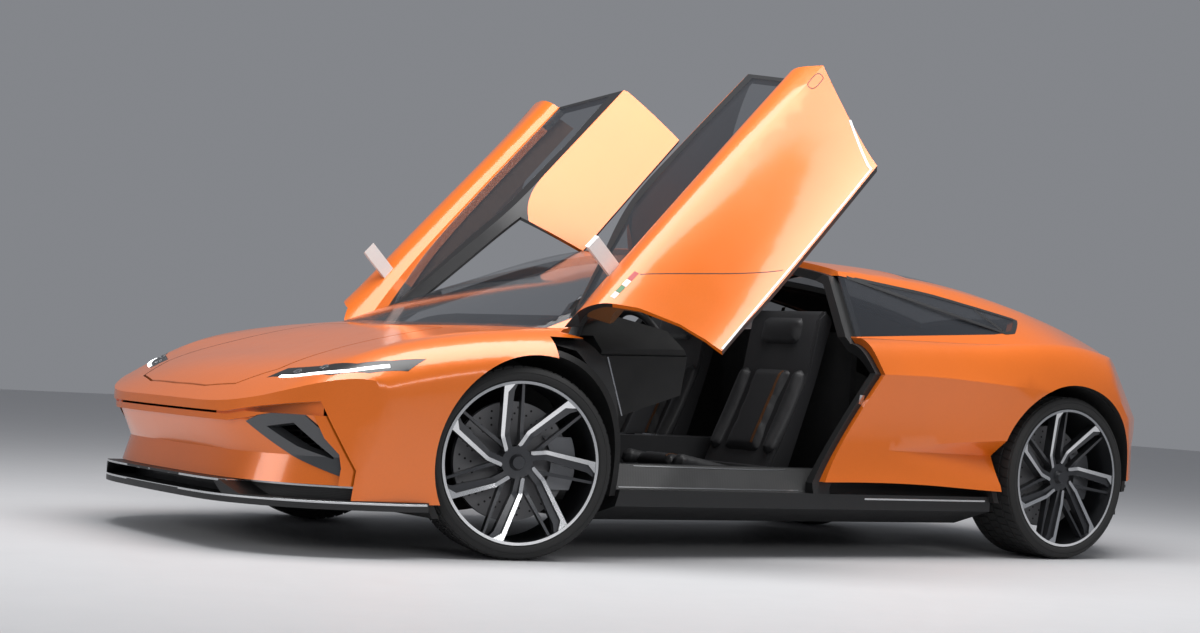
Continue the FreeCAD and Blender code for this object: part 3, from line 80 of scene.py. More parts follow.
# The cells a metre of the paint's orange peel and of the dust on rubber.
PEEL_CELLS = 160.0
DUST_CELLS = 9.0

# The ways in which small parts are set on a surface.
DOWN = (0, 0, -1)
INWARDS = (0, -1, 0)
OUTWARDS = (0, 1, 0)
FORWARDS = (1, 0, 0)
MIRROR = Matrix.Diagonal((1, -1, 1, 1))
BACK_STEP = 0.02
NOSE_RAY = 3.0

# The left door's hinge, and how far the door stands open, in degrees.
DOOR_PIVOT = Vector((1.049, 0.802, 0.855))
DOOR_AXIS = Vector((0.708, 0.629, -0.321)).normalized()
DOOR_ANGLE = 66.9

# The cabin's middle height, and how far it reaches to the front and to the back.
CABIN_HEIGHT = 0.5
CABIN_REACH = 1.2

# The wheels' corners, and the front wheels' angle at rest, in degrees.
CORNERS = ("front_left", "front_right", "rear_left", "rear_right")
STEER = -14.0

# The CAD nodes round the door opening.
SIDE_NODES = ("sills", "aperture_frames", "rear_body", "front_body", "bulkheads", "dashboard")

# The x, the height and the lean in degrees of what the seat's pads lie on.
CUSHION_REST = (0.137, 0.366, -10.0)
BACK_REST = (-0.160, 0.561, -25.0)
HEAD_REST = (-0.283, 0.885, -12.0)


class Side(Enum):
    """The two sides of the car."""

    LEFT = 1
    RIGHT = -1

    @property
    def word(self) -> str:
        """The side's name in the names of nodes and bodies."""
        return self.name.lower()


class Grain(Enum):
    """What a finish's surface looks like from close by."""

    SMOOTH = "smooth"
    FLAKE = "metal flake under lacquer"
    PEBBLE = "leather or moulded plastic"
    TWILL = "woven carbon under lacquer"
    BRUSHED = "fine turned lines"
    FABRIC = "plain cloth"
    RUBBER = "matt moulded rubber"


class Signal:
    """An output socket that takes part in Python arithmetic through Math nodes."""

    def __init__(self, tree: bpy.types.NodeTree, socket: bpy.types.NodeSocket) -> None:
        """Wraps one socket of a tree."""
        self.tree = tree
        self.socket = socket

    def plug(self, target: bpy.types.NodeSocket) -> None:
        """Links this output to an input socket."""
        self.tree.links.new(self.socket, target)

    def maths(self, operation: str, *operands: "Signal | float") -> "Signal":
        """Adds a Math node.

        Args:
            operation: The Math node's operation.
            operands: Its inputs in order, signals or plain numbers.

        Returns:
            The node's output.
        """
        node = self.tree.nodes.new("ShaderNodeMath")
        node.operation = operation
        for target, value in zip(node.inputs, operands):
            if isinstance(value, Signal):
                value.plug(target)
            else:
                target.default_value = value
        return Signal(self.tree, node.outputs[0])

    def __add__(self, other: "Signal | float") -> "Signal":
        """self + other."""
        return self.maths("ADD", self, other)

    def __radd__(self, other: float) -> "Signal":
        """other + self."""
        return self.maths("ADD", other, self)

    def __sub__(self, other: "Signal | float") -> "Signal":
        """self - other."""
        return self.maths("SUBTRACT", self, other)

    def __rsub__(self, other: float) -> "Signal":
        """other - self."""
        return self.maths("SUBTRACT", other, self)

    def __mul__(self, other: "Signal | float") -> "Signal":
        """self * other."""
        return self.maths("MULTIPLY", self, other)

    def __rmul__(self, other: float) -> "Signal":
        """other * self."""
        return self.maths("MULTIPLY", other, self)

    def __truediv__(self, other: "Signal | float") -> "Signal":
        """self / other."""
        return self.maths("DIVIDE", self, other)

    def __rtruediv__(self, other: float) -> "Signal":
        """other / self."""
        return self.maths("DIVIDE", other, self)

    def __mod__(self, other: "Signal | float") -> "Signal":
        """self % other."""
        return self.maths("FLOORED_MODULO", self, other)

    def __gt__(self, other: "Signal | float") -> "Signal":
        """1 where self is greater than other."""
        return self.maths("GREATER_THAN", self, other)

    def __abs__(self) -> "Signal":
        """The size without its sign."""
        return self.maths("ABSOLUTE", self)


class Graph:
    """A node tree of a material or of Geometry Nodes, with one method for any node."""

    def __init__(self, tree: bpy.types.NodeTree) -> None:
        """Keeps the tree."""
        self.tree = tree

    def put(self, value: object, target: bpy.types.NodeSocket) -> None:
        """Links a signal to a socket, or sets its value."""
        if isinstance(value, Signal):
            value.plug(target)
        elif isinstance(value, tuple) and len(value) == 3 and target.type == "RGBA":
            target.default_value = (*value, 1.0)
        else:
            target.default_value = value

    def node(self, kind: str, settings: dict | None = None, sockets: dict | None = None,
             output: int | str = 0) -> Signal:
        """Adds a node.

        Args:
            kind: The node's type.
            settings: Its properties, and "stops" for a ramp's positions and greys.
            sockets: Values or signals by the input's name or number.
            output: The output to return, by name or number.

        Returns:
            That output.
        """
        made = self.tree.nodes.new(kind)
        for key, value in (settings or {}).items():
            if key != "stops":
                setattr(made, key, value)
                continue
            elements = made.color_ramp.elements
            for index, (position, grey) in enumerate(value):
                stop = elements[index] if index < 2 else elements.new(position)
                stop.position = position
                stop.color = (grey, grey, grey, 1.0)
        for key, value in (sockets or {}).items():
            self.put(value, made.inputs[key])
        return Signal(self.tree, made.outputs[output] if made.outputs else None)

    def position(self) -> Signal:
        """The point on the object, in metres."""
        return self.node("ShaderNodeTexCoord", output="Object")

    def axes(self, vector: Signal) -> tuple[Signal, Signal, Signal]:
        """The three parts of a vector."""
        first = self.node("ShaderNodeSeparateXYZ", sockets={0: vector})
        outputs = first.socket.node.outputs
        return first, Signal(self.tree, outputs[1]), Signal(self.tree, outputs[2])

    def noise(self, vector: Signal, scale: float, detail: float = 3.0) -> Signal:
        """Fractal noise from 0 to 1 at so many cells a metre."""
        return self.node("ShaderNodeTexNoise", sockets={
            "Vector": vector, "Scale": scale, "Detail": detail})

    def cells(self, vector: Signal, scale: float, feature: str = "F1") -> Signal:
        """Distance to the nearest of scattered points, at so many cells a metre."""
        return self.node("ShaderNodeTexVoronoi", {"feature": feature}, {
            "Vector": vector, "Scale": scale}, "Distance")

    def mix(self, factor: Signal | float, low: object, high: object) -> Signal:
        """A colour between two others."""
        made = self.tree.nodes.new("ShaderNodeMix")
        made.data_type = "RGBA"
        for value, target in ((factor, made.inputs[0]), (low, made.inputs[6]),
                              (high, made.inputs[7])):
            self.put(value, target)
        return Signal(self.tree, made.outputs[2])


def scaled(colour: Colour, share: float) -> Colour:
    """The colour made darker or lighter by a share."""
    return tuple(min(1.0, part * share) for part in colour)


@dataclass(frozen=True)
class Finish:
    """One procedural finish.

    Args:
        name: The material's name.
        colour: Base colour, linear.
        roughness: How matt it is.
        metallic: How metallic it is.
        coat: Weight of a clear lacquer.
        grain: What the surface looks like from close by.
        pitch: Size of that grain in metres.
        depth: Height of that grain in metres.
        mottle: How far the colour wanders, as a share.
        alpha: How opaque it is.
        glow: Strength of its own light.
    """

    name: str
    colour: Colour
    roughness: float = 0.5
    metallic: float = 0.0
    coat: float = 0.0
    grain: Grain = Grain.SMOOTH
    pitch: float = 0.002
    depth: float = 0.0001
    mottle: float = 0.08
    alpha: float = 1.0
    glow: float = 0.0

    def material(self) -> bpy.types.Material:
        """The finish's material, made once.

        Returns:
            The material.
        """
        made = bpy.data.materials.get(self.name)
        if made is not None:
            return made
        made = bpy.data.materials.new(self.name)
        made.use_nodes = True
        made.node_tree.nodes.clear()
        graph = Graph(made.node_tree)
        where = graph.position()
        relief, shade = self.surface(graph, where)
        wander = graph.noise(where, WANDER_CELLS)
        base = graph.mix(wander, scaled(self.colour, 1 - self.mottle),
                         scaled(self.colour, 1 + self.mottle))
        if shade is not None:
            base = graph.mix(shade, base, scaled(self.colour, GRAIN_SHADE))
        smear = graph.noise(where, SMEAR_CELLS, 4.0)
        rough = self.roughness * (SMEAR_LEAST + SMEAR_SPAN * smear)
        sockets = {"Base Color": base, "Roughness": rough, "Metallic": self.metallic,
                   "Coat Weight": self.coat, "Coat Roughness": LACQUER_ROUGHNESS,
                   "Alpha": self.alpha}
        if relief is not None:
            sockets["Normal"] = graph.node("ShaderNodeBump", None, {
                "Strength": 1.0, "Distance": self.depth, "Height": relief})
        if self.glow:
            sockets["Emission Color"] = self.colour
            sockets["Emission Strength"] = self.glow
        shader = graph.node("ShaderNodeBsdfPrincipled", None, sockets)
        graph.node("ShaderNodeOutputMaterial", None, {"Surface": shader})
        made.diffuse_color = (*self.colour, 1.0)
        return made

    def surface(self, graph: Graph, where: Signal) -> tuple[Signal | None, Signal | None]:
        """The grain's relief, and where it darkens the colour.

        Args:
            graph: The material's graph.
            where: The point on the object.

        Returns:
            The height from 0 to 1 and the dark share from 0 to 1, or None for either.
        """
        cells = 1.0 / self.pitch
        if self.grain is Grain.FLAKE:
            peel = graph.noise(where, PEEL_CELLS, 2.0)
            flake = graph.cells(where, cells)
            return peel * 0.7 + flake * 0.3, (flake > 0.62) * 0.16
        if self.grain is Grain.PEBBLE:
            pebble = graph.cells(where, cells, "SMOOTH_F1")
            crease = graph.noise(where, cells * 0.12, 5.0)
            return pebble * 0.7 + crease * 0.5, pebble * 0.3
        if self.grain is Grain.TWILL:
            x, y, z = graph.axes(where)
            along = (x + z * 0.7) * cells
            over = (y + z * 0.7) * cells
            step = (along.maths("FLOOR", along) + over.maths("FLOOR", over)) % 4.0
            warp = step > 1.5
            thread = abs((along % 1.0) - 0.5) * warp + abs((over % 1.0) - 0.5) * (1 - warp)
            return 1 - thread * 1.6, warp * 0.75
        if self.grain is Grain.BRUSHED:
            x, y, z = graph.axes(where)
            lines = graph.node("ShaderNodeCombineXYZ", None, {0: x * 0.2, 1: y * 4.0, 2: z * 0.2})
            brush = graph.noise(lines, cells, 2.0)
            return brush, brush * 0.2
        if self.grain is Grain.FABRIC:
            x, y, z = graph.axes(where)
            weave = ((x + y) * cells * math.tau).maths("SINE", (x + y) * cells * math.tau)
            weft = (z * cells * math.tau).maths("SINE", z * cells * math.tau)
            return (weave * weft + 1) * 0.5, (weave * weft > 0.2) * 0.3
        if self.grain is Grain.RUBBER:
            rough = graph.noise(where, cells, 4.0)
            dust = graph.noise(where, DUST_CELLS, 4.0)
            return rough, dust * 0.3
        return None, None


class Finishes:
    """Every finish of the car."""

    PAINT = Finish("orange_paint", (0.86, 0.175, 0.008), 0.3, 0.15, 0.8, Grain.FLAKE, 0.0012,
                   0.00002, 0.05)
    GLASS = Finish("tinted_glass", (0.012, 0.013, 0.015), 0.03, 0.0, 1.0, mottle=0.02, alpha=0.88)
    DARK_GLASS = Finish("black_glass", (0.008, 0.008, 0.009), 0.04, 0.0, 1.0, mottle=0.02)
    LAMP_BLACK = Finish("lamp_black", (0.006, 0.006, 0.007), 0.3, 0.0, 0.25, mottle=0.02)
    CARBON = Finish("woven_carbon", (0.011, 0.0115, 0.0125), 0.55, 0.0, 0.12, Grain.TWILL, 0.003,
                    0.0001, 0.1)
    TRIM = Finish("satin_black", (0.016, 0.016, 0.017), 0.42, 0.0, 0.1, Grain.PEBBLE, 0.0012,
                  0.00008)
    LINER = Finish("moulded_liner", (0.012, 0.012, 0.012), 0.75, 0.0, 0.0, Grain.PEBBLE, 0.003,
                   0.0003, 0.2)
    BEZEL = Finish("dark_grey_bezel", (0.075, 0.078, 0.083), 0.36, 0.5, 0.5, Grain.FLAKE, 0.001,
                   0.00002)
    LEATHER = Finish("charcoal_leather", (0.021, 0.021, 0.023), 0.55, 0.0, 0.05, Grain.PEBBLE,
                     0.0022, 0.00025, 0.15)
    TAN = Finish("brown_leather", (0.19, 0.075, 0.026), 0.48, 0.0, 0.05, Grain.PEBBLE, 0.0022,
                 0.00025, 0.15)
    CARPET = Finish("black_carpet", (0.014, 0.014, 0.015), 0.95, 0.0, 0.0, Grain.FABRIC, 0.002,
                    0.0006, 0.2)
    RUBBER = Finish("tyre_rubber", (0.009, 0.009, 0.0095), 0.8, 0.0, 0.0, Grain.RUBBER, 0.0012,
                    0.0002, 0.15)
    ALLOY = Finish("diamond_cut_alloy", (0.86, 0.87, 0.88), 0.2, 1.0, 0.6, Grain.BRUSHED, 0.0015,
                   0.00002, 0.03)
    DARK_ALLOY = Finish("graphite_alloy", (0.05, 0.052, 0.057), 0.34, 0.7, 0.6, Grain.FLAKE,
                        0.001, 0.00002)
    IRON = Finish("brake_iron", (0.30, 0.30, 0.31), 0.38, 0.9, 0.0, Grain.BRUSHED, 0.002,
                  0.00005, 0.1)
    CALIPER = Finish("grey_caliper", (0.16, 0.165, 0.175), 0.3, 0.6, 0.7, Grain.FLAKE, 0.001,
                     0.00002)
    STEEL = Finish("bright_steel", (0.55, 0.56, 0.58), 0.24, 1.0, 0.0, Grain.BRUSHED, 0.002,
                   0.00003)
    # A silver finish for thin strips that are painted highlights along the edges of the side and
    # splitter blades.
    SILVER = Finish("silver_edge", (0.78, 0.79, 0.8), 0.22, 0.7, 0.6, Grain.BRUSHED, 0.002,
                    0.00001)
    WHITE = Finish("pearl_white", (0.8, 0.8, 0.79), 0.25, 0.0, 1.0, Grain.FLAKE, 0.001, 0.00001,
                   0.02)
    GREEN = Finish("stripe_green", (0.004, 0.16, 0.03), 0.4, 0.0, 0.3, mottle=0.03)
    RED = Finish("stripe_red", (0.45, 0.006, 0.006), 0.4, 0.0, 0.3, mottle=0.03)
    BATTERY = Finish("battery_case", (0.06, 0.065, 0.07), 0.55, 0.3, 0.0, Grain.PEBBLE, 0.004,
                     0.0003)
    LENS = Finish("clear_lens", (0.02, 0.02, 0.022), 0.05, 0.0, 1.0, mottle=0.02, alpha=0.5)
    LAMP = Finish("white_lamp", (0.95, 0.97, 1.0), 0.3, glow=3.0, mottle=0.01)
    TAIL = Finish("red_lamp", (0.55, 0.008, 0.01), 0.15, 0.0, 1.0, mottle=0.04, glow=0.6)
    FLOOR = Finish("pale_floor", (0.62, 0.62, 0.63), 0.55, mottle=0.02)


def dressed(piece: bpy.types.Object, body: str, slot: str | None = None, *nodes: str) -> None:
    """Makes a finished piece ride on a body.

    Args:
        piece: The piece, at the origin.
        body: The CAD body that it moves with.
        slot: The record's material slot, if it has one. Not used.
        nodes: The CAD nodes that it stands for.
    """
    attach(piece, body)
    if nodes:
        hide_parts(*nodes)
    LOG.info("%s: %d faces on %s", piece.name, len(piece.data.polygons), body)


def linked(name: str, data: bpy.types.ID) -> bpy.types.Object:
    """A new object of a mesh, light or camera, in the scene."""
    made = bpy.data.objects.new(name, data)
    bpy.context.scene.collection.objects.link(made)
    return made


def object_of(mesh: bpy.types.Mesh, sharp: float | None = SHADE_ANGLE) -> bpy.types.Object:
    """A linked object of a mesh, shaded smooth up to an angle in degrees."""
    mesh.polygons.foreach_set("use_smooth", [sharp is not None] * len(mesh.polygons))
    if sharp is not None:
        mesh.set_sharp_from_angle(angle=math.radians(sharp))
    return linked(mesh.name, mesh)


def mesh_of(name: str, points: Sequence[Sequence[float]], faces: Sequence[Sequence[int]],
            finish: Finish, sharp: float | None = SHADE_ANGLE) -> bpy.types.Object:
    """A closed mesh with outward faces.

    Args:
        name: The object's name.
        points: Corner points in the car's frame, in metres.
        faces: Corner numbers of each face.
        finish: The finish of all faces.
        sharp: The angle up to which it is shaded smooth, or None for flat faces.

    Returns:
        The linked object.
    """
    mesh = bpy.data.meshes.new(name)
    mesh.from_pydata([tuple(point) for point in points], [], faces)
    shaped = bmesh.new()
    shaped.from_mesh(mesh)
    bmesh.ops.remove_doubles(shaped, verts=shaped.verts, dist=SAME_POINT)
    bmesh.ops.recalc_face_normals(shaped, faces=shaped.faces)
    shaped.to_mesh(mesh)
    shaped.free()
    mesh.materials.append(finish.material())
    return object_of(mesh, sharp)


def restyled(node: str, name: str, body: str, slot: str | None, finishes: Sequence[Finish],
             choose: Chooser | None = None, cuts: Sequence[tuple[Vector, Vector]] = ()) -> None:
    """Puts a copy of a CAD node in its place, with its loose triangles joined into one skin.

    Args:
        node: The CAD node.
        name: The new piece's name.
        body: The CAD body that it moves with.
        slot: The record's material slot, if it has one.
        finishes: The materials in order.
        choose: Gives each face its material's number.
        cuts: Planes, each a point and a normal, along which faces are split.
    """
    shaped = bmesh.new()
    shaped.from_mesh(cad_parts[node].data)
    bmesh.ops.remove_doubles(shaped, verts=shaped.verts, dist=SAME_CAD_POINT)
    bmesh.ops.dissolve_degenerate(shaped, edges=shaped.edges, dist=SAME_POINT)
    for point, normal in cuts:
        bmesh.ops.bisect_plane(shaped, geom=[*shaped.verts, *shaped.edges, *shaped.faces],
                               dist=SAME_POINT, plane_co=point, plane_no=normal)
    shaped.normal_update()
    for face in shaped.faces:
        face.material_index = choose(face) if choose is not None else 0
    mesh = bpy.data.meshes.new(name)
    shaped.to_mesh(mesh)
    shaped.free()
    if "custom_normal" in mesh.attributes:
        mesh.attributes.remove(mesh.attributes["custom_normal"])
    for finish in finishes:
        mesh.materials.append(finish.material())
    dressed(object_of(mesh, PANEL_ANGLE), body, slot, node)


def lofted(name: str, sections: Sequence[Sequence[Vector]], finish: Finish,
           ring: bool = False) -> bpy.types.Object:
    """A closed skin through outlines with the same number of points.

    Args:
        name: The object's name.
        sections: The outlines in order.
        finish: The finish of all faces.
        ring: Whether the last outline joins the first instead of being capped.

    Returns:
        The linked object.
    """
    count, total = len(sections[0]), len(sections)
    points = [point for section in sections for point in section]
    faces: list[tuple[int, ...]] = []
    for row in range(total if ring else total - 1):
        after = (row + 1) % total
        for index in range(count):
            beside = (index + 1) % count
            faces.append((row * count + index, row * count + beside, after * count + beside,
                          after * count + index))
    if not ring:
        faces.append(tuple(reversed(range(count))))
        faces.append(tuple(range((total - 1) * count, total * count)))
    return mesh_of(name, points, faces, finish)


def swept(name: str, path: Sequence[Vector], profile: Outline, finish: Finish,
          up: Sequence[Vector] | Vector = Vector((0, 0, 1)),
          ring: bool = False) -> bpy.types.Object:
    """A bar whose outline follows a path.

    Args:
        name: The object's name.
        path: The points that it follows.
        profile: Its outline as pairs across the path and along up.
        finish: The finish of all faces.
        up: One direction, or one for each point.
        ring: Whether its end joins its start.

    Returns:
        The linked object.
    """
    sections = []
    last = len(path) - 1
    for index, at in enumerate(path):
        before = path[index - 1] if index or ring else at
        after = path[(index + 1) % len(path)] if index < last or ring else at
        ahead = (after - before).normalized()
        lift = (up if isinstance(up, Vector) else up[index]).normalized()
        across = ahead.cross(lift).normalized()
        lift = across.cross(ahead)
        sections.append([at + across * u + lift * v for u, v in profile])
    return lofted(name, sections, finish, ring)


def round_profile(radius: float, sides: int) -> list[Pair]:
    """The outline of a round bar."""
    return [(radius * math.cos(math.tau * i / sides), radius * math.sin(math.tau * i / sides))
            for i in range(sides)]


def ribbon(name: str, run: Run, width: float, thick: float, finish: Finish,
           sink: float = 0.0006, ring: bool = False) -> bpy.types.Object:
    """A thin strip that lies on a surface and sinks a little into it.

    Args:
        name: The object's name.
        run: The points that it follows, and the surface's normals there.
        width: Its width.
        thick: How far it stands proud.
        finish: The finish of all faces.
        sink: How far it sinks in.
        ring: Whether its end joins its start.

    Returns:
        The linked object.
    """
    half, shy = width / 2, min(thick, width) * 0.3
    profile = ((-half, -sink), (half, -sink), (half, thick - shy), (half - shy, thick),
               (shy - half, thick), (-half, thick - shy))
    line, lift = run
    return swept(name, line, profile, finish, lift, ring)


def smoothed(points: Sequence[Sequence[float]], steps: int = 6) -> list[Vector]:
    """A smooth run of points through the given ones."""
    corners = [Vector(point) for point in points]
    count = len(corners)
    out: list[Vector] = []
    for index in range(count - 1):
        a = corners[index - 1] if index else corners[0] * 2 - corners[1]
        b, c = corners[index], corners[index + 1]
        d = corners[index + 2] if index + 2 < count else corners[-1] * 2 - corners[-2]
        for step in range(steps):
            t = step / steps
            out.append((b * 2 + (c - a) * t + (a * 2 - b * 5 + c * 4 - d) * t ** 2
                        + (b * 3 - a - c * 3 + d) * t ** 3) * 0.5)
    return out + [corners[-1]]


def straight(start: Sequence[float], end: Sequence[float], steps: int) -> list[Vector]:
    """Evenly spaced points of a straight line."""
    a, b = Vector(start), Vector(end)
    return [a.lerp(b, step / steps) for step in range(steps + 1)]


def side_point(x: float, z: float) -> Vector:
    """A point of the side view."""
    return Vector((x, 0.0, z))


def backwards(start: float, height: float, count: int) -> list[Vector]:
    """Points of the side view at one height, from start towards the tail."""
    return [side_point(start - BACK_STEP * index, height) for index in range(count)]


def extruded(name: str, outline: Sequence[Sequence[float]], way: Sequence[float],
             finish: Finish, bevel: float = 0.0) -> bpy.types.Object:
    """A straight block over a flat outline, with softened edges.

    Args:
        name: The object's name.
        outline: The corners of one end.
        way: From that end to the other.
        finish: The finish of all faces.
        bevel: How far each edge is rounded, in metres.

    Returns:
        The linked object.
    """
    base = [Vector(point) for point in outline]
    made = lofted(name, (base, [point + Vector(way) for point in base]), finish)
    if bevel:
        shaped = bmesh.new()
        shaped.from_mesh(made.data)
        bmesh.ops.bevel(shaped, geom=shaped.edges, offset=bevel, segments=2, affect="EDGES",
                        clamp_overlap=True)
        shaped.to_mesh(made.data)
        shaped.free()
        made.data.polygons.foreach_set("use_smooth", [True] * len(made.data.polygons))
        made.data.set_sharp_from_angle(angle=math.radians(BEVEL_ANGLE))
    return made


def block(name: str, low: Sequence[float], high: Sequence[float], finish: Finish,
          bevel: float) -> bpy.types.Object:
    """A box with softened edges between two corners."""
    outline = [(low[0], low[1], low[2]), (high[0], low[1], low[2]), (high[0], high[1], low[2]),
               (low[0], high[1], low[2])]
    return extruded(name, outline, (0, 0, high[2] - low[2]), finish, bevel)


def lathed(name: str, outline: Outline, place: Matrix, segments: int, finish: Finish,
           ring: bool = False) -> bpy.types.Object:
    """A turned piece: an outline of height and radius about the local Z axis.

    Args:
        name: The object's name.
        outline: Pairs of height and radius; open ones start and end on the axis.
        place: Where the axis stands.
        segments: How many steps a turn has.
        finish: The finish of all faces.
        ring: Whether the outline is closed and never meets the axis.

    Returns:
        The linked object.
    """
    sections = []
    for step in range(segments):
        angle = math.tau * step / segments
        sections.append([place @ Vector((radius * math.cos(angle), radius * math.sin(angle),
                                         height)) for height, radius in outline])
    if ring:
        return lofted(name, sections, finish, ring)
    count = len(outline)
    points = [point for section in sections for point in section]
    faces = []
    for row in range(segments):
        after = (row + 1) % segments
        for index in range(count - 1):
            faces.append((row * count + index, row * count + index + 1,
                          after * count + index + 1, after * count + index))
    return mesh_of(name, points, faces, finish)


def dropped(piece: bpy.types.Object) -> None:
    """Removes an object that only served to make others."""
    mesh = piece.data
    bpy.data.objects.remove(piece)
    bpy.data.meshes.remove(mesh)


def joined(name: str, parts: Sequence[bpy.types.Object]) -> bpy.types.Object:
    """One object of several, with the materials of all.

    Args:
        name: The new object's name.
        parts: The objects, which are used up.

    Returns:
        The linked object.
    """
    shaped = bmesh.new()
    materials: list[bpy.types.Material] = []
    for part in parts:
        numbers = []
        for material in part.data.materials:
            if material not in materials:
                materials.append(material)
            numbers.append(materials.index(material))
        start = len(shaped.faces)
        shaped.from_mesh(part.data)
        shaped.faces.ensure_lookup_table()
        for face in shaped.faces[start:]:
            face.material_index = numbers[face.material_index]
    mesh = bpy.data.meshes.new(name)
    shaped.to_mesh(mesh)
    shaped.free()
    for material in materials:
        mesh.materials.append(material)
    for part in parts:
        dropped(part)
    return linked(name, mesh)


def moved(piece: bpy.types.Object, change: Matrix, name: str | None = None,
          copy: bool = False) -> bpy.types.Object:
    """The piece, or a copy of it, with its mesh moved and its faces kept outwards.

    Args:
        piece: The object, at the origin.
        change: The move, which may mirror.
        name: A new name.
        copy: Whether the piece stays as it is too.

    Returns:
        The moved object.
    """
    if copy:
        piece = linked(name or piece.name, piece.data.copy())
    piece.data.transform(change)
    if change.determinant() < 0:
        piece.data.flip_normals()
    if name:
        piece.name = name
        piece.data.name = name
    return piece


def plate(name: str, place: Matrix, half: Pair, depth: Pair,
          finish: Finish, bevel: float) -> bpy.types.Object:
    """A plate with softened edges that stands on a surface.

    Args:
        name: The object's name.
        place: The place on the surface.
        half: Half its size each way along the surface.
        depth: Its lowest and its highest point over the surface.
        finish: The finish of all faces.
        bevel: How far each edge is rounded, in metres.

    Returns:
        The linked object.
    """
    return moved(block(name, (-half[0], -half[1], depth[0]), (half[0], half[1], depth[1]),
                       finish, bevel), place)


def both_sides(piece: bpy.types.Object, name: str, slot: str | None = None,
               bodies: tuple[str, str] = ("chassis", "chassis")) -> None:
    """Dresses a piece of the left side and its mirror image on the right.

    Args:
        piece: The left piece.
        name: The name that both share.
        slot: The record's material slot.
        bodies: The left and the right body.
    """
    right = moved(piece, MIRROR, name + "_right", copy=True)
    moved(piece, Matrix.Identity(4), name + "_left")
    dressed(piece, bodies[0], slot)
    dressed(right, bodies[1], slot)


class Skin:
    """The surface of CAD nodes, asked for points that small parts lie on."""

    def __init__(self, nodes: Sequence[str], place: Matrix | None = None) -> None:
        """Reads the nodes' triangles, moved by place."""
        shaped = bmesh.new()
        for node in nodes:
            shaped.from_mesh(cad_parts[node].data)
        if place is not None:
            bmesh.ops.transform(shaped, matrix=place, verts=shaped.verts)
        self.tree = BVHTree.FromBMesh(shaped)
        shaped.free()

    @classmethod
    def of_mesh(cls, mesh: bpy.types.Mesh) -> "Skin":
        """The surface of one mesh."""
        shaped = bmesh.new()
        shaped.from_mesh(mesh)
        made = cls(())
        made.tree = BVHTree.FromBMesh(shaped)
        shaped.free()
        return made

    def along(self, start: Sequence[float], way: Sequence[float]) -> tuple[Vector, Vector] | None:
        """The first point met from start, with the outward normal there."""
        direction = Vector(way).normalized()
        point, normal, _, _ = self.tree.ray_cast(Vector(start), direction)
        if point is None:
            return None
        return point, normal if normal.dot(direction) < 0 else -normal

    def standing(self, start: Sequence[float], way: Sequence[float]) -> Matrix | None:
        """The place of a piece on the first point met, with its Z along the normal."""
        found = self.along(start, way)
        if found is None:
            return None
        at, normal = found
        return Matrix.Translation(at) @ normal.to_track_quat("Z", "Y").to_matrix().to_4x4()

    def line(self, starts: Iterable[Sequence[float]], way: Sequence[float]) -> Run:
        """The points met from several starts, with their normals."""
        found = [hit for hit in (self.along(start, way) for start in starts) if hit]
        return [hit[0] for hit in found], [hit[1] for hit in found]

    def from_left(self, places: Iterable[Vector], outside: float) -> Run:
        """The points met from places of the side view, with rays that start at y = outside."""
        return self.line(((place.x, outside, place.z) for place in places), INWARDS)

    def from_nose(self, middle: float, height: float,
                  turns: Iterable[float]) -> list[tuple[Vector, Vector, Vector]]:
        """The points met by level rays that come in from round the nose.

        Args:
            middle: Where all rays cross the centre line.
            height: Their height.
            turns: Their angles from straight ahead, in degrees.

        Returns:
            Each point met, its normal and the way outwards.
        """
        found = []
        for turn in turns:
            x, y = math.cos(math.radians(turn)), math.sin(math.radians(turn))
            hit = self.along((middle + NOSE_RAY * x, NOSE_RAY * y, height), (-x, -y, 0.0))
            if hit is not None:
                found.append((*hit, Vector((x, y, 0.0))))
        return found


def around() -> bpy.types.NodeTree:
    """The Geometry Nodes group that repeats a unit on a circle about Z, with +X outwards.

    Returns:
        The group, made once, with the unit, its finish, the count, the radius and the turn of
        the whole circle as its inputs.
    """
    made = bpy.data.node_groups.get("around")
    if made is not None:
        return made
    tree = bpy.data.node_groups.new("around", "GeometryNodeTree")
    tree.interface.new_socket("Geometry", in_out="OUTPUT", socket_type="NodeSocketGeometry")
    kinds = {"Unit": "Object", "Finish": "Material", "Count": "Int", "Radius": "Float",
             "Turn": "Float"}
    for key, kind in kinds.items():
        tree.interface.new_socket(key, in_out="INPUT", socket_type="NodeSocket" + kind)
    entry = tree.nodes.new("NodeGroupInput")
    given = {key: Signal(tree, entry.outputs[key]) for key in kinds}
    graph = Graph(tree)
    ring = graph.node("GeometryNodeMeshCircle", None, {
        "Vertices": given["Count"], "Radius": given["Radius"]})
    angle = graph.node("GeometryNodeInputIndex") * math.tau / given["Count"]
    turned = graph.node("ShaderNodeCombineXYZ", None, {2: angle})
    whole = graph.node("ShaderNodeCombineXYZ", None, {2: given["Turn"]})
    points = graph.node("GeometryNodeTransform", None, {"Geometry": ring, "Rotation": whole})
    both = graph.node("ShaderNodeVectorMath", {"operation": "ADD"}, {0: turned, 1: whole})
    unit = graph.node("GeometryNodeObjectInfo", None, {"Object": given["Unit"]}, "Geometry")
    placed = graph.node("GeometryNodeInstanceOnPoints", None, {
        "Points": points, "Instance": unit, "Rotation": both})
    real = graph.node("GeometryNodeRealizeInstances", None, {0: placed})
    coloured = graph.node("GeometryNodeSetMaterial", None, {
        "Geometry": real, "Material": given["Finish"]})
    graph.node("NodeGroupOutput", None, {"Geometry": coloured})
    return tree


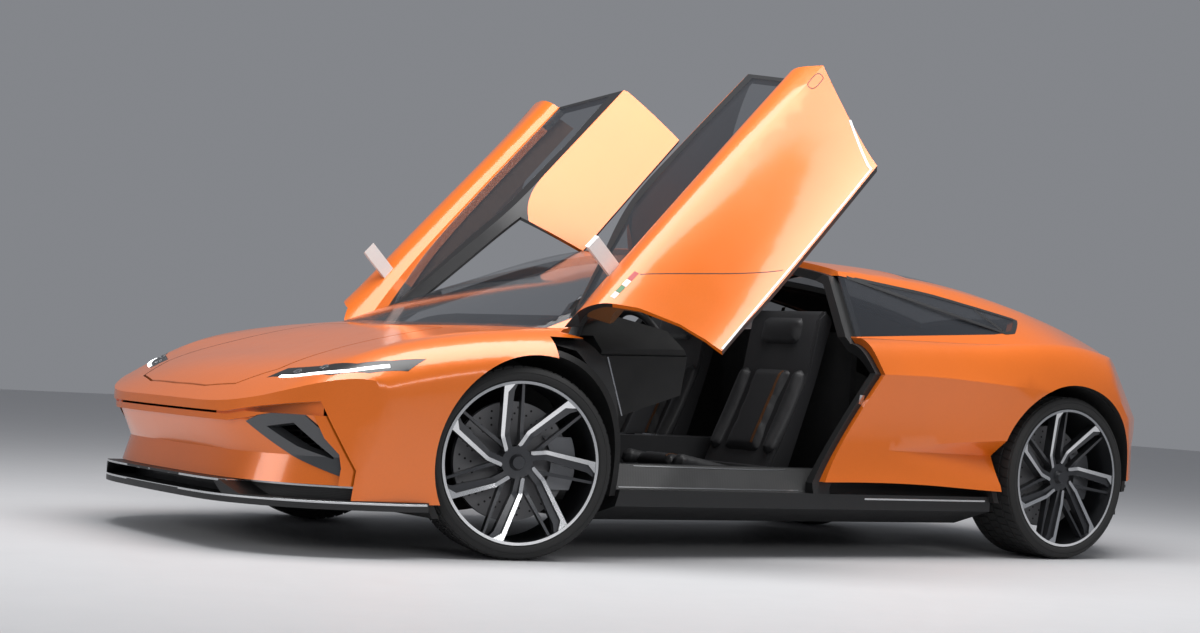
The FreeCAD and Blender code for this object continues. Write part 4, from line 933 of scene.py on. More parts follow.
def repeated(name: str, unit: bpy.types.Object, finish: Finish, place: Matrix,
             **numbers: float) -> bpy.types.Object:
    """A mesh of many copies of a unit on a circle.

    Args:
        name: The object's name.
        unit: The object that is repeated.
        finish: The finish of all copies.
        place: Where the whole goes.
        numbers: The group's count, radius and turn.

    Returns:
        The linked object.
    """
    group = around()
    host = linked(name + "_host", bpy.data.meshes.new(name + "_host"))
    modifier = host.modifiers.new("repeat", "NODES")
    modifier.node_group = group
    values = {"Unit": unit, "Finish": finish.material(),
              **{key.capitalize(): value for key, value in numbers.items()}}
    for item in group.interface.items_tree:
        if item.item_type == "SOCKET" and item.in_out == "INPUT":
            modifier[item.identifier] = values[item.name]
    bpy.context.view_layer.update()
    seen = bpy.context.evaluated_depsgraph_get()
    mesh = bpy.data.meshes.new_from_object(host.evaluated_get(seen))
    host.modifiers.remove(modifier)
    dropped(host)
    mesh.name = name
    mesh.transform(place)
    if not mesh.materials:
        mesh.materials.append(finish.material())
    return object_of(mesh, BEVEL_ANGLE)


def door_closing(side: Side) -> Matrix:
    """The turn that takes a point of an open door to its place on the closed car."""
    sign = side.value
    pivot = Vector((DOOR_PIVOT.x, DOOR_PIVOT.y * sign, DOOR_PIVOT.z))
    axis = Vector((DOOR_AXIS.x * sign, DOOR_AXIS.y, DOOR_AXIS.z * sign))
    turn = Matrix.Rotation(math.radians(-DOOR_ANGLE), 4, axis)
    return Matrix.Translation(pivot) @ turn @ Matrix.Translation(-pivot)


def facing_out(centre: Vector, normal: Vector) -> float:
    """How far a face of the closed body looks away from the cabin, from -1 to 1."""
    away = Vector((0.0, centre.y, centre.z - CABIN_HEIGHT))
    if abs(centre.x) > CABIN_REACH:
        away.x = centre.x - math.copysign(CABIN_REACH, centre.x)
    return normal.dot(away.normalized())


def axle(corner: str) -> str:
    """The axle that a wheel's corner belongs to, front or rear."""
    return corner.split("_")[0]


def wheel_centre(corner: str) -> Vector:
    """The middle of a wheel."""
    low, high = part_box("tyre_" + corner)
    return (low + high) / 2


def wheel_way(corner: str) -> Vector:
    """The unit vector out of a wheel's outer face."""
    sign = 1 if corner.endswith("left") else -1
    turn = math.radians(STEER) if axle(corner) == "front" else 0.0
    return Vector((-math.sin(turn) * sign, math.cos(turn) * sign, 0.0))


@dataclass
class Bodywork:
    """The painted panels, the glass and the lids.

    Args:
        edge_turn: How far towards the cabin a painted face of the body may look.
        panels: The painted nodes and their bodies.
        glass: The glazed nodes and their bodies.
        window: The heights between which a closed door's skin is black.
        foot: The height below which its underside is black.
        downward: How far down a face of that underside looks, as its normal's height.
        door_turn: How far towards the cabin a painted face of a door may look.
    """

    edge_turn: float = 0.12
    panels: tuple[tuple[str, str], ...] = (
        ("front_body", "chassis"), ("rear_body", "chassis"), ("front_fascia", "chassis"),
        ("hood", "hood"), ("tailgate", "tailgate"))
    glass: tuple[tuple[str, str], ...] = (
        ("fixed_windows", "chassis"), ("tailgate_glass", "tailgate"))
    window: Pair = (0.885, 1.155)
    foot: float = 0.33
    downward: float = -0.9
    door_turn: float = 0.1

    def build(self) -> None:
        """Dresses the panels that stay, the lids and the doors."""
        for node, body in self.panels:
            restyled(node, node + "_skin", body, "body_paint", (Finishes.PAINT, Finishes.LINER),
                     self.inside)
        for node, body in self.glass:
            restyled(node, node + "_pane", body, "tinted_glass", (Finishes.GLASS,))
        for side in Side:
            self.door(side)

    def inside(self, face: bmesh.types.BMFace) -> int:
        """1 for a face of the body that looks into the cabin, 0 for a painted one."""
        return int(facing_out(face.calc_center_median(), face.normal) < -self.edge_turn)

    def door(self, side: Side) -> None:
        """Dresses one open door."""
        closing = door_closing(side)
        turn = closing.to_3x3()
        low, high = self.window

        def inner(face: bmesh.types.BMFace) -> int:
            """1 for a face that looks into the cabin or down, and for the window's frame."""
            where = closing @ face.calc_center_median()
            normal = turn @ face.normal
            under = where.z < self.foot and normal.z < self.downward
            return int(low < where.z < high or under
                       or facing_out(where, normal) < -self.door_turn)

        name = "door_" + side.word
        opening = closing.inverted()
        cuts = [(opening @ Vector((0, 0, height)), opening.to_3x3() @ Vector((0, 0, 1)))
                for height in self.window]
        restyled(name + "_skin", name + "_panel", name, "body_paint",
                 (Finishes.PAINT, Finishes.TRIM), inner, cuts)
        for part, new, slot, finish in (
                ("_glass", "_pane", "tinted_glass", Finishes.GLASS),
                ("_trim", "_card", "door_leather", Finishes.TAN),
                ("_mirror", "_wing", "mirror_white", Finishes.WHITE)):
            restyled(name + part, name + new, name, slot, (finish,))


@dataclass
class Wheels:
    """Rims and brake discs.

    Args:
        halves: Half the width of each axle's wheels.
        hub: The radius of the hub's face, and how deep it lies.
        spoke: Where the spokes start to rise towards the rim, how deep they lie before that,
            and how steeply they rise.
        cut_depth: How deep the lathe cuts.
        cut_from: The radius at which its cut starts.
        cut_turn: How far outwards a cut face looks.
    """

    halves: dict[str, float] = field(default_factory=lambda: {"front": 0.1275, "rear": 0.145})
    hub: Pair = (0.058, 0.048)
    spoke: tuple[float, float, float] = (0.110, 0.046, 0.194)
    cut_depth: float = 0.005
    cut_from: float = 0.06
    cut_turn: float = 0.75

    def build(self) -> None:
        """Dresses the four corners."""
        for corner in CORNERS:
            self.corner(corner)

    def corner(self, corner: str) -> None:
        """Dresses one wheel."""
        body = "wheel_" + corner
        way = wheel_way(corner)
        centre = wheel_centre(corner)
        half = self.halves[axle(corner)]
        hub_radius, hub_depth = self.hub
        start, depth, rise = self.spoke

        def rim_face(face: bmesh.types.BMFace) -> int:
            """0 for what the lathe cut bright, 1 for what stays dark."""
            out = face.calc_center_median() - centre
            radial = (out - way * out.dot(way)).length
            recess = hub_depth if radial < hub_radius else depth - max(0.0, radial - start) * rise
            proud = out.dot(way) > half - recess - self.cut_depth
            level = face.normal.dot(way) > self.cut_turn
            return 0 if level and radial > self.cut_from and proud else 1

        restyled("rim_" + corner, body + "_rim", body, "wheel_alloy",
                 (Finishes.ALLOY, Finishes.DARK_ALLOY), rim_face)
        restyled("disc_" + corner, body + "_disc", body, "brake_iron", (Finishes.IRON,))


@dataclass
class Tyres:
    """Moulded tyres with a tread, and the holes of the discs.

    Args:
        radius: The tread's radius.
        bead: The radius at which a tyre meets its rim.
        halves: Half the width of each axle's tyres.
        wall: The outline of a side wall, as inset from the side and height over the bead.
        shoulder: Its upper part, as inset from the side and depth under the tread.
        lining: The inner outline, as inset from the side and height over the bead.
        segments: How many steps the carcass has round its axle.
        rows: How many rows of blocks the tread has.
        blocks: How many blocks a row has.
        margin: The width of the tyre that no row covers.
        fill: The share of its pitch that a block fills, along and across the tread.
        lean: How far the blocks lean, as a share of their length.
        root: How deep a block starts under the tread.
        rises: How high the middle and the outer rows rise from there.
        sunk: How far the roots' circle stays inside the radius.
        stagger: How far each row is turned against the last, in radians.
        disc_faces: Where the outer face of each axle's discs is, from the wheel's middle.
        hole: The outline of a disc's hole, as height and radius.
        hole_steps: How many steps a hole has.
        hole_count: How many holes a circle has.
        hole_circles: The radii of the circles.
        hole_turn: How far a circle is turned, in radians for each metre of its radius.
    """

    radius: float = 0.3448
    bead: float = 0.2935
    halves: dict[str, float] = field(default_factory=lambda: {"front": 0.1273, "rear": 0.1448})
    wall: Outline = ((0.012, 0.0), (0.004, 0.006), (0.0, 0.018), (0.001, 0.0235),
                     (0.0022, 0.024), (0.0024, 0.027), (0.001, 0.0275))
    shoulder: Outline = ((0.004, 0.016), (0.012, 0.0075), (0.024, 0.0055))
    lining: Outline = ((0.024, 0.0), (0.03, 0.02))
    segments: int = 96
    rows: int = 5
    blocks: int = 56
    margin: float = 0.030
    fill: Pair = (0.84, 0.80)
    lean: float = 0.35
    root: float = 0.010
    rises: Pair = (0.010, 0.0085)
    sunk: float = 0.0008
    stagger: float = 0.045
    disc_faces: dict[str, float] = field(
        default_factory=lambda: {"front": -0.0022, "rear": 0.0153})
    hole: Outline = ((-0.0006, 0.0), (-0.0006, 0.0042), (0.0003, 0.0042), (0.0003, 0.0))
    hole_steps: int = 10
    hole_count: int = 24
    hole_circles: tuple[float, ...] = (0.150, 0.172, 0.194)
    hole_turn: float = 9.0

    def build(self) -> None:
        """Makes each corner's tyre and disc holes."""
        for corner in CORNERS:
            turn = wheel_way(corner).to_track_quat("Z", "X").to_matrix().to_4x4()
            place = Matrix.Translation(wheel_centre(corner)) @ turn
            self.tyre(corner, place)
            self.holes(corner, place)

    def tyre(self, corner: str, place: Matrix) -> None:
        """One tyre: a turned carcass and rows of tread blocks."""
        half = self.halves[axle(corner)]
        right = ([(half - inset, self.bead + rise) for inset, rise in self.wall]
                 + [(half - inset, self.radius - drop) for inset, drop in self.shoulder])
        inner = [(half - inset, self.bead + rise) for inset, rise in self.lining]
        outline = ([(-height, radius) for height, radius in right] + right[::-1] + inner
                   + [(-height, radius) for height, radius in reversed(inner)])
        parts = [lathed("carcass", outline, place, self.segments, Finishes.RUBBER, ring=True)]
        pitch = (2 * half - self.margin) / self.rows
        length = math.tau * self.radius / self.blocks * self.fill[0]
        wide = pitch * self.fill[1]
        for row in range(self.rows):
            offset = row - (self.rows - 1) / 2
            lean = self.lean * length * offset / self.rows
            corners = ((-length / 2 - lean, -wide / 2), (length / 2 - lean, -wide / 2),
                       (length / 2 + lean, wide / 2), (-length / 2 + lean, wide / 2))
            rise = self.rises[row in (0, self.rows - 1)]
            unit = extruded("tread_unit", [(-self.root, *point) for point in corners],
                            (rise, 0, 0), Finishes.RUBBER)
            parts.append(repeated(
                "row", unit, Finishes.RUBBER, place @ Matrix.Translation((0, 0, offset * pitch)),
                count=self.blocks, radius=self.radius - self.sunk, turn=row * self.stagger))
            dropped(unit)
        dressed(joined("wheel_" + corner + "_tyre", parts), "wheel_" + corner, "tyre_rubber",
                "tyre_" + corner)

    def holes(self, corner: str, place: Matrix) -> None:
        """The drilled holes of a disc's outer face."""
        at = place @ Matrix.Translation((0, 0, self.disc_faces[axle(corner)]))
        unit = lathed("hole", self.hole, Matrix.Identity(4), self.hole_steps, Finishes.LINER)
        rings = [repeated("ring", unit, Finishes.LINER, at, count=self.hole_count, radius=radius,
                          turn=radius * self.hole_turn) for radius in self.hole_circles]
        dropped(unit)
        dressed(joined("wheel_" + corner + "_holes", rings), "wheel_" + corner)


@dataclass
class Headlamps:
    """Black lamp units with a bright bar along the lower edge and three round lenses.

    Args:
        bar: Points of the bar, seen from above.
        bar_size: Its width and thickness.
        lenses: The lenses' middles, seen from above.
        ring: The outline of the ring round a lens, as height and radius.
        eye: The outline of a lens.
        segments: How many steps both have.
        above: The height from which they are set down.
    """

    bar: Outline = ((2.068, 0.575), (2.040, 0.655), (1.995, 0.735), (1.935, 0.800),
                    (1.868, 0.838), (1.800, 0.866))
    bar_size: Pair = (0.015, 0.0022)
    lenses: Outline = ((2.020, 0.610), (1.965, 0.700), (1.895, 0.775))
    ring: Outline = ((-0.001, 0.0), (-0.001, 0.0165), (0.0016, 0.0165), (0.0016, 0.0125),
                     (-0.0005, 0.0))
    eye: Outline = ((-0.001, 0.0), (-0.001, 0.012), (0.0005, 0.012), (0.0016, 0.007),
                    (0.002, 0.0))
    segments: int = 32
    above: float = 1.0

    def build(self) -> None:
        """Dresses both lamps."""
        restyled("headlamps", "headlamp_units", "chassis", "lamp_lens", (Finishes.LAMP_BLACK,))
        skin = Skin(("headlamps",))
        path = smoothed([(x, y, self.above) for x, y in self.bar])
        both_sides(ribbon("bar", skin.line(path, DOWN), *self.bar_size, Finishes.LAMP),
                   "headlamp_bar")
        places = [skin.standing((x, y, self.above), DOWN) for x, y in self.lenses]
        for name, outline, finish, slot in (
                ("headlamp_rings", self.ring, Finishes.STEEL, None),
                ("headlamp_eyes", self.eye, Finishes.LENS, "lamp_lens")):
            turned = [lathed("turned", outline, place, self.segments, finish)
                      for place in places if place is not None]
            both_sides(joined(name, turned), name, slot)


@dataclass
class DoorDetails:
    """Lines, stripe, handle, underside and card parts of the doors, drawn on the closed car.

    Args:
        outside: The y from which parts are set on the outer skin.
        foot: The door's lower edge.
        foot_rise: How far the white line, a painted highlight along the door's lower and rear
            edges, runs above it.
        foot_size: The white line's width and thickness, as for each size that follows.
        rear: The white line's course up the rear edge, in the side view.
        seam: The ends of the dark seam, in the side view.
        seam_size: Its size.
        stripe: The start, the end and the finish of each part of the stripe.
        stripe_height: The stripe's height.
        stripe_size: Its size.
        handle: The lowest and highest x, then the lowest and highest z of the handle.
        handle_steps: How many points its outline has.
        handle_bends: How square it is each way, from 1, an ellipse, to 0, a box.
        handle_size: The size of its line.
        under_front: Where the underside starts.
        under_inset: How far inside the lower edge its outer face is.
        under_inner: The y of its inner face.
        under_rises: The rises of the outer face's and the inner face's edges over the foot.
        under_least: The least heights of the inner face's edges.
        pull: The feet and the middle of the pull handle, as x and z.
        pull_foot: How far its feet sink into the card.
        pull_share: How far its knees are from its feet, as a share of each half of it.
        pull_knees: How far it stands off there.
        pull_crown: How far it stands off in the middle.
        pull_radius: Its radius.
        card_seams: The heights of the card's seams.
        card_seam_size: Their size.
    """

    outside: float = 1.3
    foot: tuple[Point, ...] = (
        (0.850, 0.900, 0.278), (0.620, 0.902, 0.284), (0.360, 0.905, 0.290),
        (0.071, 0.912, 0.299), (-0.100, 0.918, 0.306))
    foot_rise: float = 0.006
    foot_size: Pair = (0.009, 0.0016)
    rear: Outline = ((-0.112, 0.335), (-0.165, 0.405), (-0.250, 0.515), (-0.322, 0.610))
    seam: Outline = ((0.790, 0.700), (0.450, 0.312))
    seam_size: Pair = (0.0035, 0.0005)
    stripe: tuple[tuple[float, float, Finish], ...] = (
        (0.790, 0.832, Finishes.RED), (0.834, 0.864, Finishes.WHITE),
        (0.866, 0.900, Finishes.GREEN), (0.902, 0.930, Finishes.WHITE))
    stripe_height: float = 0.716
    stripe_size: Pair = (0.020, 0.0008)
    handle: tuple[float, float, float, float] = (-0.345, -0.270, 0.700, 0.735)
    handle_steps: int = 40
    handle_bends: Pair = (0.5, 0.8)
    handle_size: Pair = (0.003, 0.0006)
    under_front: float = 0.790
    under_inset: float = 0.042
    under_inner: float = 0.822
    under_rises: tuple[float, float, float, float] = (0.030, 0.070, 0.062, 0.100)
    under_least: Pair = (0.352, 0.392)
    pull: Outline = ((0.30, 0.640), (0.12, 0.655), (0.02, 0.650))
    pull_foot: Point = (0.0, 0.004, 0.0)
    pull_share: float = 0.12
    pull_knees: tuple[Point, Point] = ((0.0, -0.016, 0.004), (0.0, -0.016, 0.0))
    pull_crown: Point = (0.0, -0.020, 0.0)
    pull_radius: float = 0.009
    card_seams: tuple[float, ...] = (0.560, 0.690)
    card_seam_size: Pair = (0.006, 0.0012)

    def build(self) -> None:
        """Makes the left door's parts on the closed car, opens them and mirrors them."""
        closed = door_closing(Side.LEFT)
        opening = closed.inverted()
        made = self.skin_parts(Skin(("door_left_skin",), closed))
        made.append((self.underside(), "door_underside"))
        made.extend(self.card_parts(Skin(("door_left_trim",), closed)))
        for piece, name in made:
            both_sides(moved(piece, opening), name, bodies=("door_left", "door_right"))

    def skin_parts(self, skin: Skin) -> list[tuple[bpy.types.Object, str]]:
        """The white painted highlight along the door's edges, the seam, the stripe and the
        handle, each with its name.
        """
        # The white strip along the door's lower and rear edges is a painted highlight.
        line, lift = skin.from_left([side_point(at.x, at.z + self.foot_rise)
                                     for at in smoothed(self.foot)], self.outside)
        rear, turned = skin.from_left(smoothed([side_point(x, z) for x, z in self.rear]),
                                      self.outside)
        foot = ribbon("foot", (line + rear, lift + turned), *self.foot_size, Finishes.WHITE)
        start, end = (side_point(x, z) for x, z in self.seam)
        seam = ribbon("seam", skin.from_left(straight(start, end, steps=30), self.outside),
                      *self.seam_size, Finishes.TRIM)
        parts = [(foot, "door_foot_line"), (seam, "door_seam")]
        for number, (front, back, finish) in enumerate(self.stripe):
            ends = (side_point(x, self.stripe_height) for x in (front, back))
            run = skin.from_left(straight(*ends, steps=6), self.outside)
            if len(run[0]) > 2:
                parts.append((ribbon("flag", run, *self.stripe_size, finish),
                              "door_stripe_" + str(number)))
        run = skin.from_left(self.handle_outline(), self.outside)
        parts.append((ribbon("slot", run, *self.handle_size, Finishes.TRIM, ring=True),
                      "door_handle_line"))
        return parts

    def handle_outline(self) -> list[Vector]:
        """The handle's rounded outline in the side view."""
        low_x, high_x, low_z, high_z = self.handle
        middle = ((low_x + high_x) / 2, (low_z + high_z) / 2)
        reach = ((high_x - low_x) / 2, (high_z - low_z) / 2)
        out = []
        for step in range(self.handle_steps):
            angle = math.tau * step / self.handle_steps
            out.append(side_point(*(
                at + math.copysign(abs(share) ** bend, share) * most for at, share, bend, most
                in zip(middle, (math.cos(angle), math.sin(angle)), self.handle_bends, reach))))
        return out

    def underside(self) -> bpy.types.Object:
        """The black block that closes the door's lower edge towards the sill."""
        outer_low, outer_high, inner_low, inner_high = self.under_rises
        sections = []
        for at in smoothed(self.foot):
            if at.x > self.under_front:
                continue
            outer = at.y - self.under_inset
            low = max(at.z + inner_low, self.under_least[0])
            high = max(at.z + inner_high, self.under_least[1])
            sections.append([Vector((at.x, y, z)) for y, z in (
                (outer, at.z + outer_low), (self.under_inner, low), (self.under_inner, high),
                (outer, at.z + outer_high))])
        return lofted("underside", sections, Finishes.TRIM)

    def card_parts(self, card: Skin) -> list[tuple[bpy.types.Object, str]]:
        """The pull handle and the seams of the door's card, each with its name."""
        found = [card.along((x, 0.0, z), OUTWARDS) for x, z in self.pull]
        if None in found:
            return []
        first, middle, last = (hit[0] for hit in found)
        foot, crown = Vector(self.pull_foot), Vector(self.pull_crown)
        knees = [Vector(knee) for knee in self.pull_knees]
        path = smoothed([first + foot, first.lerp(middle, self.pull_share) + knees[0],
                         middle + crown, last.lerp(middle, self.pull_share) + knees[1],
                         last + foot])
        profile = round_profile(self.pull_radius, sides=14)
        parts = [(swept("pull", path, profile, Finishes.TRIM), "door_pull")]
        for number, height in enumerate(self.card_seams):
            run = card.line(backwards(0.62, height, count=34), OUTWARDS)
            if len(run[0]) > 4:
                parts.append((ribbon("seam", run, *self.card_seam_size, Finishes.LEATHER),
                              "door_card_seam_" + str(number)))
        return parts


@dataclass(frozen=True)
class Strip:
    """A thin strip on the body's side.

    Args:
        name: Its name.
        nodes: The CAD nodes that it lies on.
        path: Where it runs in the side view.
        finish: Its finish.
        width: Its width.
    """

    name: str
    nodes: tuple[str, ...]
    path: Sequence[Vector]
    finish: Finish
    width: float = 0.007


@dataclass
class Edging:
    """Thin lines and small parts on the body.

    Args:
        outside: The y from which parts are set on the body's side.
        strips: The strips round the door opening and along the sill, the side blade and the front
            post; their pale and grey colours are painted highlights along those edges.
        thick: How far a strip stands proud.
        gap: The widest step between two points of one line.
        blades: The heights of the splitter's painted highlight lines.
        blade_size: The width and thickness of such a line, as for each size that follows.
        blade_middle: Where the rays of those lines cross the centre line.
        blade_turns: The step in degrees from ray to ray, and their number.
        foremost: The x beyond which they are sunk, so that the car gets no longer.
        sunk: How far.
        plates: The name, x, z, half sizes and finish of each plate on the rear jamb.
        plate_depth: How deep a plate goes in, and how far it stands proud.
        window_outside: The y from which the quarter window's parts are set on the body.
        window: The quarter window's corners in the side view.
        window_size: The size of its frame.
        divider: The ends of its divider.
        divider_size: The size of that.
        filler_middle: Where the rays of the panel under the nose's lip cross the centre line.
        filler_turns: The first ray's angle, the step from ray to ray and their number.
        filler_height: The height at which they meet the fascia.
        filler_span: From which to which y the panel runs.
        filler_depths: How far behind the fascia its back and its front lie.
        filler_low: The height of its lower edge.
        filler_top: The height of its upper edge in the middle, where that starts to rise, and
            how steeply it rises.
    """

    outside: float = 1.2
    # The aperture lip is a raised lip whose grey is a painted highlight; the sill, blade and post
    # strips are painted highlights along their edges.
    strips: tuple[Strip, ...] = field(default_factory=lambda: (
        Strip("aperture_lip", SIDE_NODES, smoothed([side_point(x, z) for x, z in (
            (0.690, 0.338), (0.400, 0.337), (0.011, 0.337), (-0.050, 0.352), (-0.102, 0.420),
            (-0.160, 0.560), (-0.215, 0.688), (-0.300, 0.800))], steps=8),
              Finishes.BEZEL, width=0.006),
        Strip("sill_line", ("sills",), backwards(0.80, 0.262, count=44), Finishes.BEZEL),
        Strip("blade_line", ("sills",), backwards(-0.36, 0.238, count=34), Finishes.SILVER),
        Strip("post_seam", ("dashboard", "bulkheads"),
              straight(side_point(0.803, 0.740), side_point(0.694, 0.440), steps=18),
              Finishes.STEEL)))
    thick: float = 0.0014
    gap: float = 0.09
    blades: Pair = (0.239, 0.189)
    blade_size: Pair = (0.007, 0.0010)
    blade_middle: float = 1.55
    blade_turns: tuple[float, int] = (1.5, 61)
    foremost: float = 2.2755
    sunk: float = 0.0011
    plates: tuple[tuple[str, float, float, Pair, Finish], ...] = (
        ("latch_plate", -0.312, 0.630, (0.012, 0.020), Finishes.STEEL),
        ("jamb_corner", -0.345, 0.800, (0.020, 0.030), Finishes.BEZEL))
    plate_depth: Pair = (-0.004, 0.0002)
    window_outside: float = 1.3
    window: Outline = ((-0.342, 1.147), (-0.251, 0.875), (-1.138, 0.935), (-1.263, 0.950),
                       (-1.373, 1.008), (-1.195, 1.041), (-0.928, 1.087))
    window_size: Pair = (0.020, 0.0010)
    divider: Outline = ((-1.140, 1.050), (-1.215, 0.945))
    divider_size: Pair = (0.018, 0.0012)
    filler_middle: float = 1.3
    filler_turns: tuple[float, float, int] = (8, 1.3, 40)
    filler_height: float = 0.458
    filler_span: Pair = (0.42, 0.800)
    filler_depths: Pair = (0.012, 0.006)
    filler_low: float = 0.450
    filler_top: tuple[float, float, float] = (0.499, 0.37, 0.092)

    def build(self) -> None:
        """Makes every part of the left side and mirrors it."""
        self.splitter()
        for strip in self.strips:
            run = self.near(Skin(strip.nodes).from_left(strip.path, self.outside))
            both_sides(ribbon(strip.name, run, strip.width, self.thick, strip.finish),
                       strip.name)
        self.jamb()
        self.quarter_window()
        self.beak_filler()

    def near(self, run: Run) -> Run:
        """The longest start of a line whose points stay close to each other."""
        line, lift = run
        kept = 1
        while kept < len(line) and (line[kept] - line[kept - 1]).length < self.gap:
            kept += 1
        return line[:kept], lift[:kept]

    def splitter(self) -> None:
        """Painted highlights, as silver strips, round the edges of the splitter's two blades."""
        skin = Skin(("front_splitter",))
        step, count = self.blade_turns
        for number, height in enumerate(self.blades):
            found = skin.from_nose(self.blade_middle, height, (step * i for i in range(count)))
            line, lift = self.near(([hit[0] for hit in found], [hit[1] for hit in found]))
            line = [at - normal * (self.sunk if at.x > self.foremost else 0.0)
                    for at, normal in zip(line, lift)]
            # Each strip is a painted highlight along a blade's edge.
            both_sides(ribbon("blade", (line, lift), *self.blade_size, Finishes.SILVER),
                       "splitter_line_" + str(number))

    def jamb(self) -> None:
        """The latch plate and a grey corner on the rear jamb."""
        body = Skin(SIDE_NODES)
        for name, x, z, half, finish in self.plates:
            place = body.standing((x, self.outside, z), INWARDS)
            if place is not None:
                both_sides(plate(name, place, half, self.plate_depth, finish, bevel=0.0004),
                           name)

    def quarter_window(self) -> None:
        """A black frame round the rear side window, and its divider."""
        skin = Skin(("rear_body", "fixed_windows"))
        corners = [side_point(x, z) for x, z in self.window]
        edge = [point for start, end in zip(corners, corners[1:] + corners[:1])
                for point in straight(start, end, steps=12)[:-1]]
        ends = (side_point(x, z) for x, z in self.divider)
        both_sides(ribbon("frame", skin.from_left(edge, self.window_outside),
                          *self.window_size, Finishes.TRIM, ring=True), "quarter_frame")
        line = skin.from_left(straight(*ends, steps=10), self.window_outside)
        both_sides(ribbon("divider", line, *self.divider_size, Finishes.TRIM),
                   "quarter_divider")

    def beak_filler(self) -> None:
        """The painted panel between the fascia's top and the lip above it."""
        level, start, rise = self.filler_top
        back, front = self.filler_depths
        low, high = self.filler_span
        first, step, count = self.filler_turns
        sections = []
        for at, _, out in Skin(("front_fascia",)).from_nose(
                self.filler_middle, self.filler_height, (first + step * i for i in range(count))):
            if not low < at.y < high:
                continue
            top = level + max(0.0, at.y - start) * rise
            sections.append([Vector((*(at - out * depth).xy, height)) for depth, height in (
                (back, self.filler_low), (front, self.filler_low), (front, top), (back, top))])
        both_sides(lofted("filler", sections, Finishes.PAINT), "beak_filler", "body_paint")


@dataclass
class Intakes:
    """The finned flaps inside the front intakes.

    Args:
        fins: How many fins a flap has.
        stays: Where its stays stand, as shares of its width.
        inner: The ends of its inner edge.
        outer: The ends of its outer edge.
        fin: The outline of a fin.
        stay: The outline of a stay.
    """

    fins: int = 7
    stays: tuple[float, ...] = (0.03, 0.35, 0.68, 0.97)
    inner: tuple[Point, Point] = ((2.060, 0.560, 0.292), (2.085, 0.590, 0.452))
    outer: tuple[Point, Point] = ((1.915, 0.735, 0.300), (1.880, 0.792, 0.468))
    fin: Outline = ((-0.010, -0.003), (0.008, -0.001), (0.010, 0.002), (-0.008, 0.003))
    stay: Outline = ((-0.003, -0.004), (0.003, -0.004), (0.003, 0.004), (-0.003, 0.004))

    def build(self) -> None:
        """Makes the left flap and mirrors it."""
        parts = []
        low_in, high_in = (Vector(point) for point in self.inner)
        low_out, high_out = (Vector(point) for point in self.outer)
        for number in range(self.fins):
            share = (number + 0.5) / self.fins
            path = straight(low_in.lerp(high_in, share), low_out.lerp(high_out, share), steps=4)
            parts.append(swept("fin", path, self.fin, Finishes.TRIM))
        for share in self.stays:
            path = straight(low_in.lerp(low_out, share), high_in.lerp(high_out, share), steps=4)
            parts.append(swept("stay", path, self.stay, Finishes.TRIM, Vector((1, 0.7, 0))))
        both_sides(joined("intake_flap", parts), "intake_flap")


@dataclass(frozen=True)
class Pad:
    """A box that swells into a pad of the seat.

    Args:
        name: Its name.
        rest: The x, the height and the lean in degrees of what it lies on.
        low: Its lowest corner there.
        high: Its highest corner there.
        paired: Whether the seat's other side has one too.
    """

    name: str
    rest: Point
    low: Point
    high: Point
    paired: bool = False


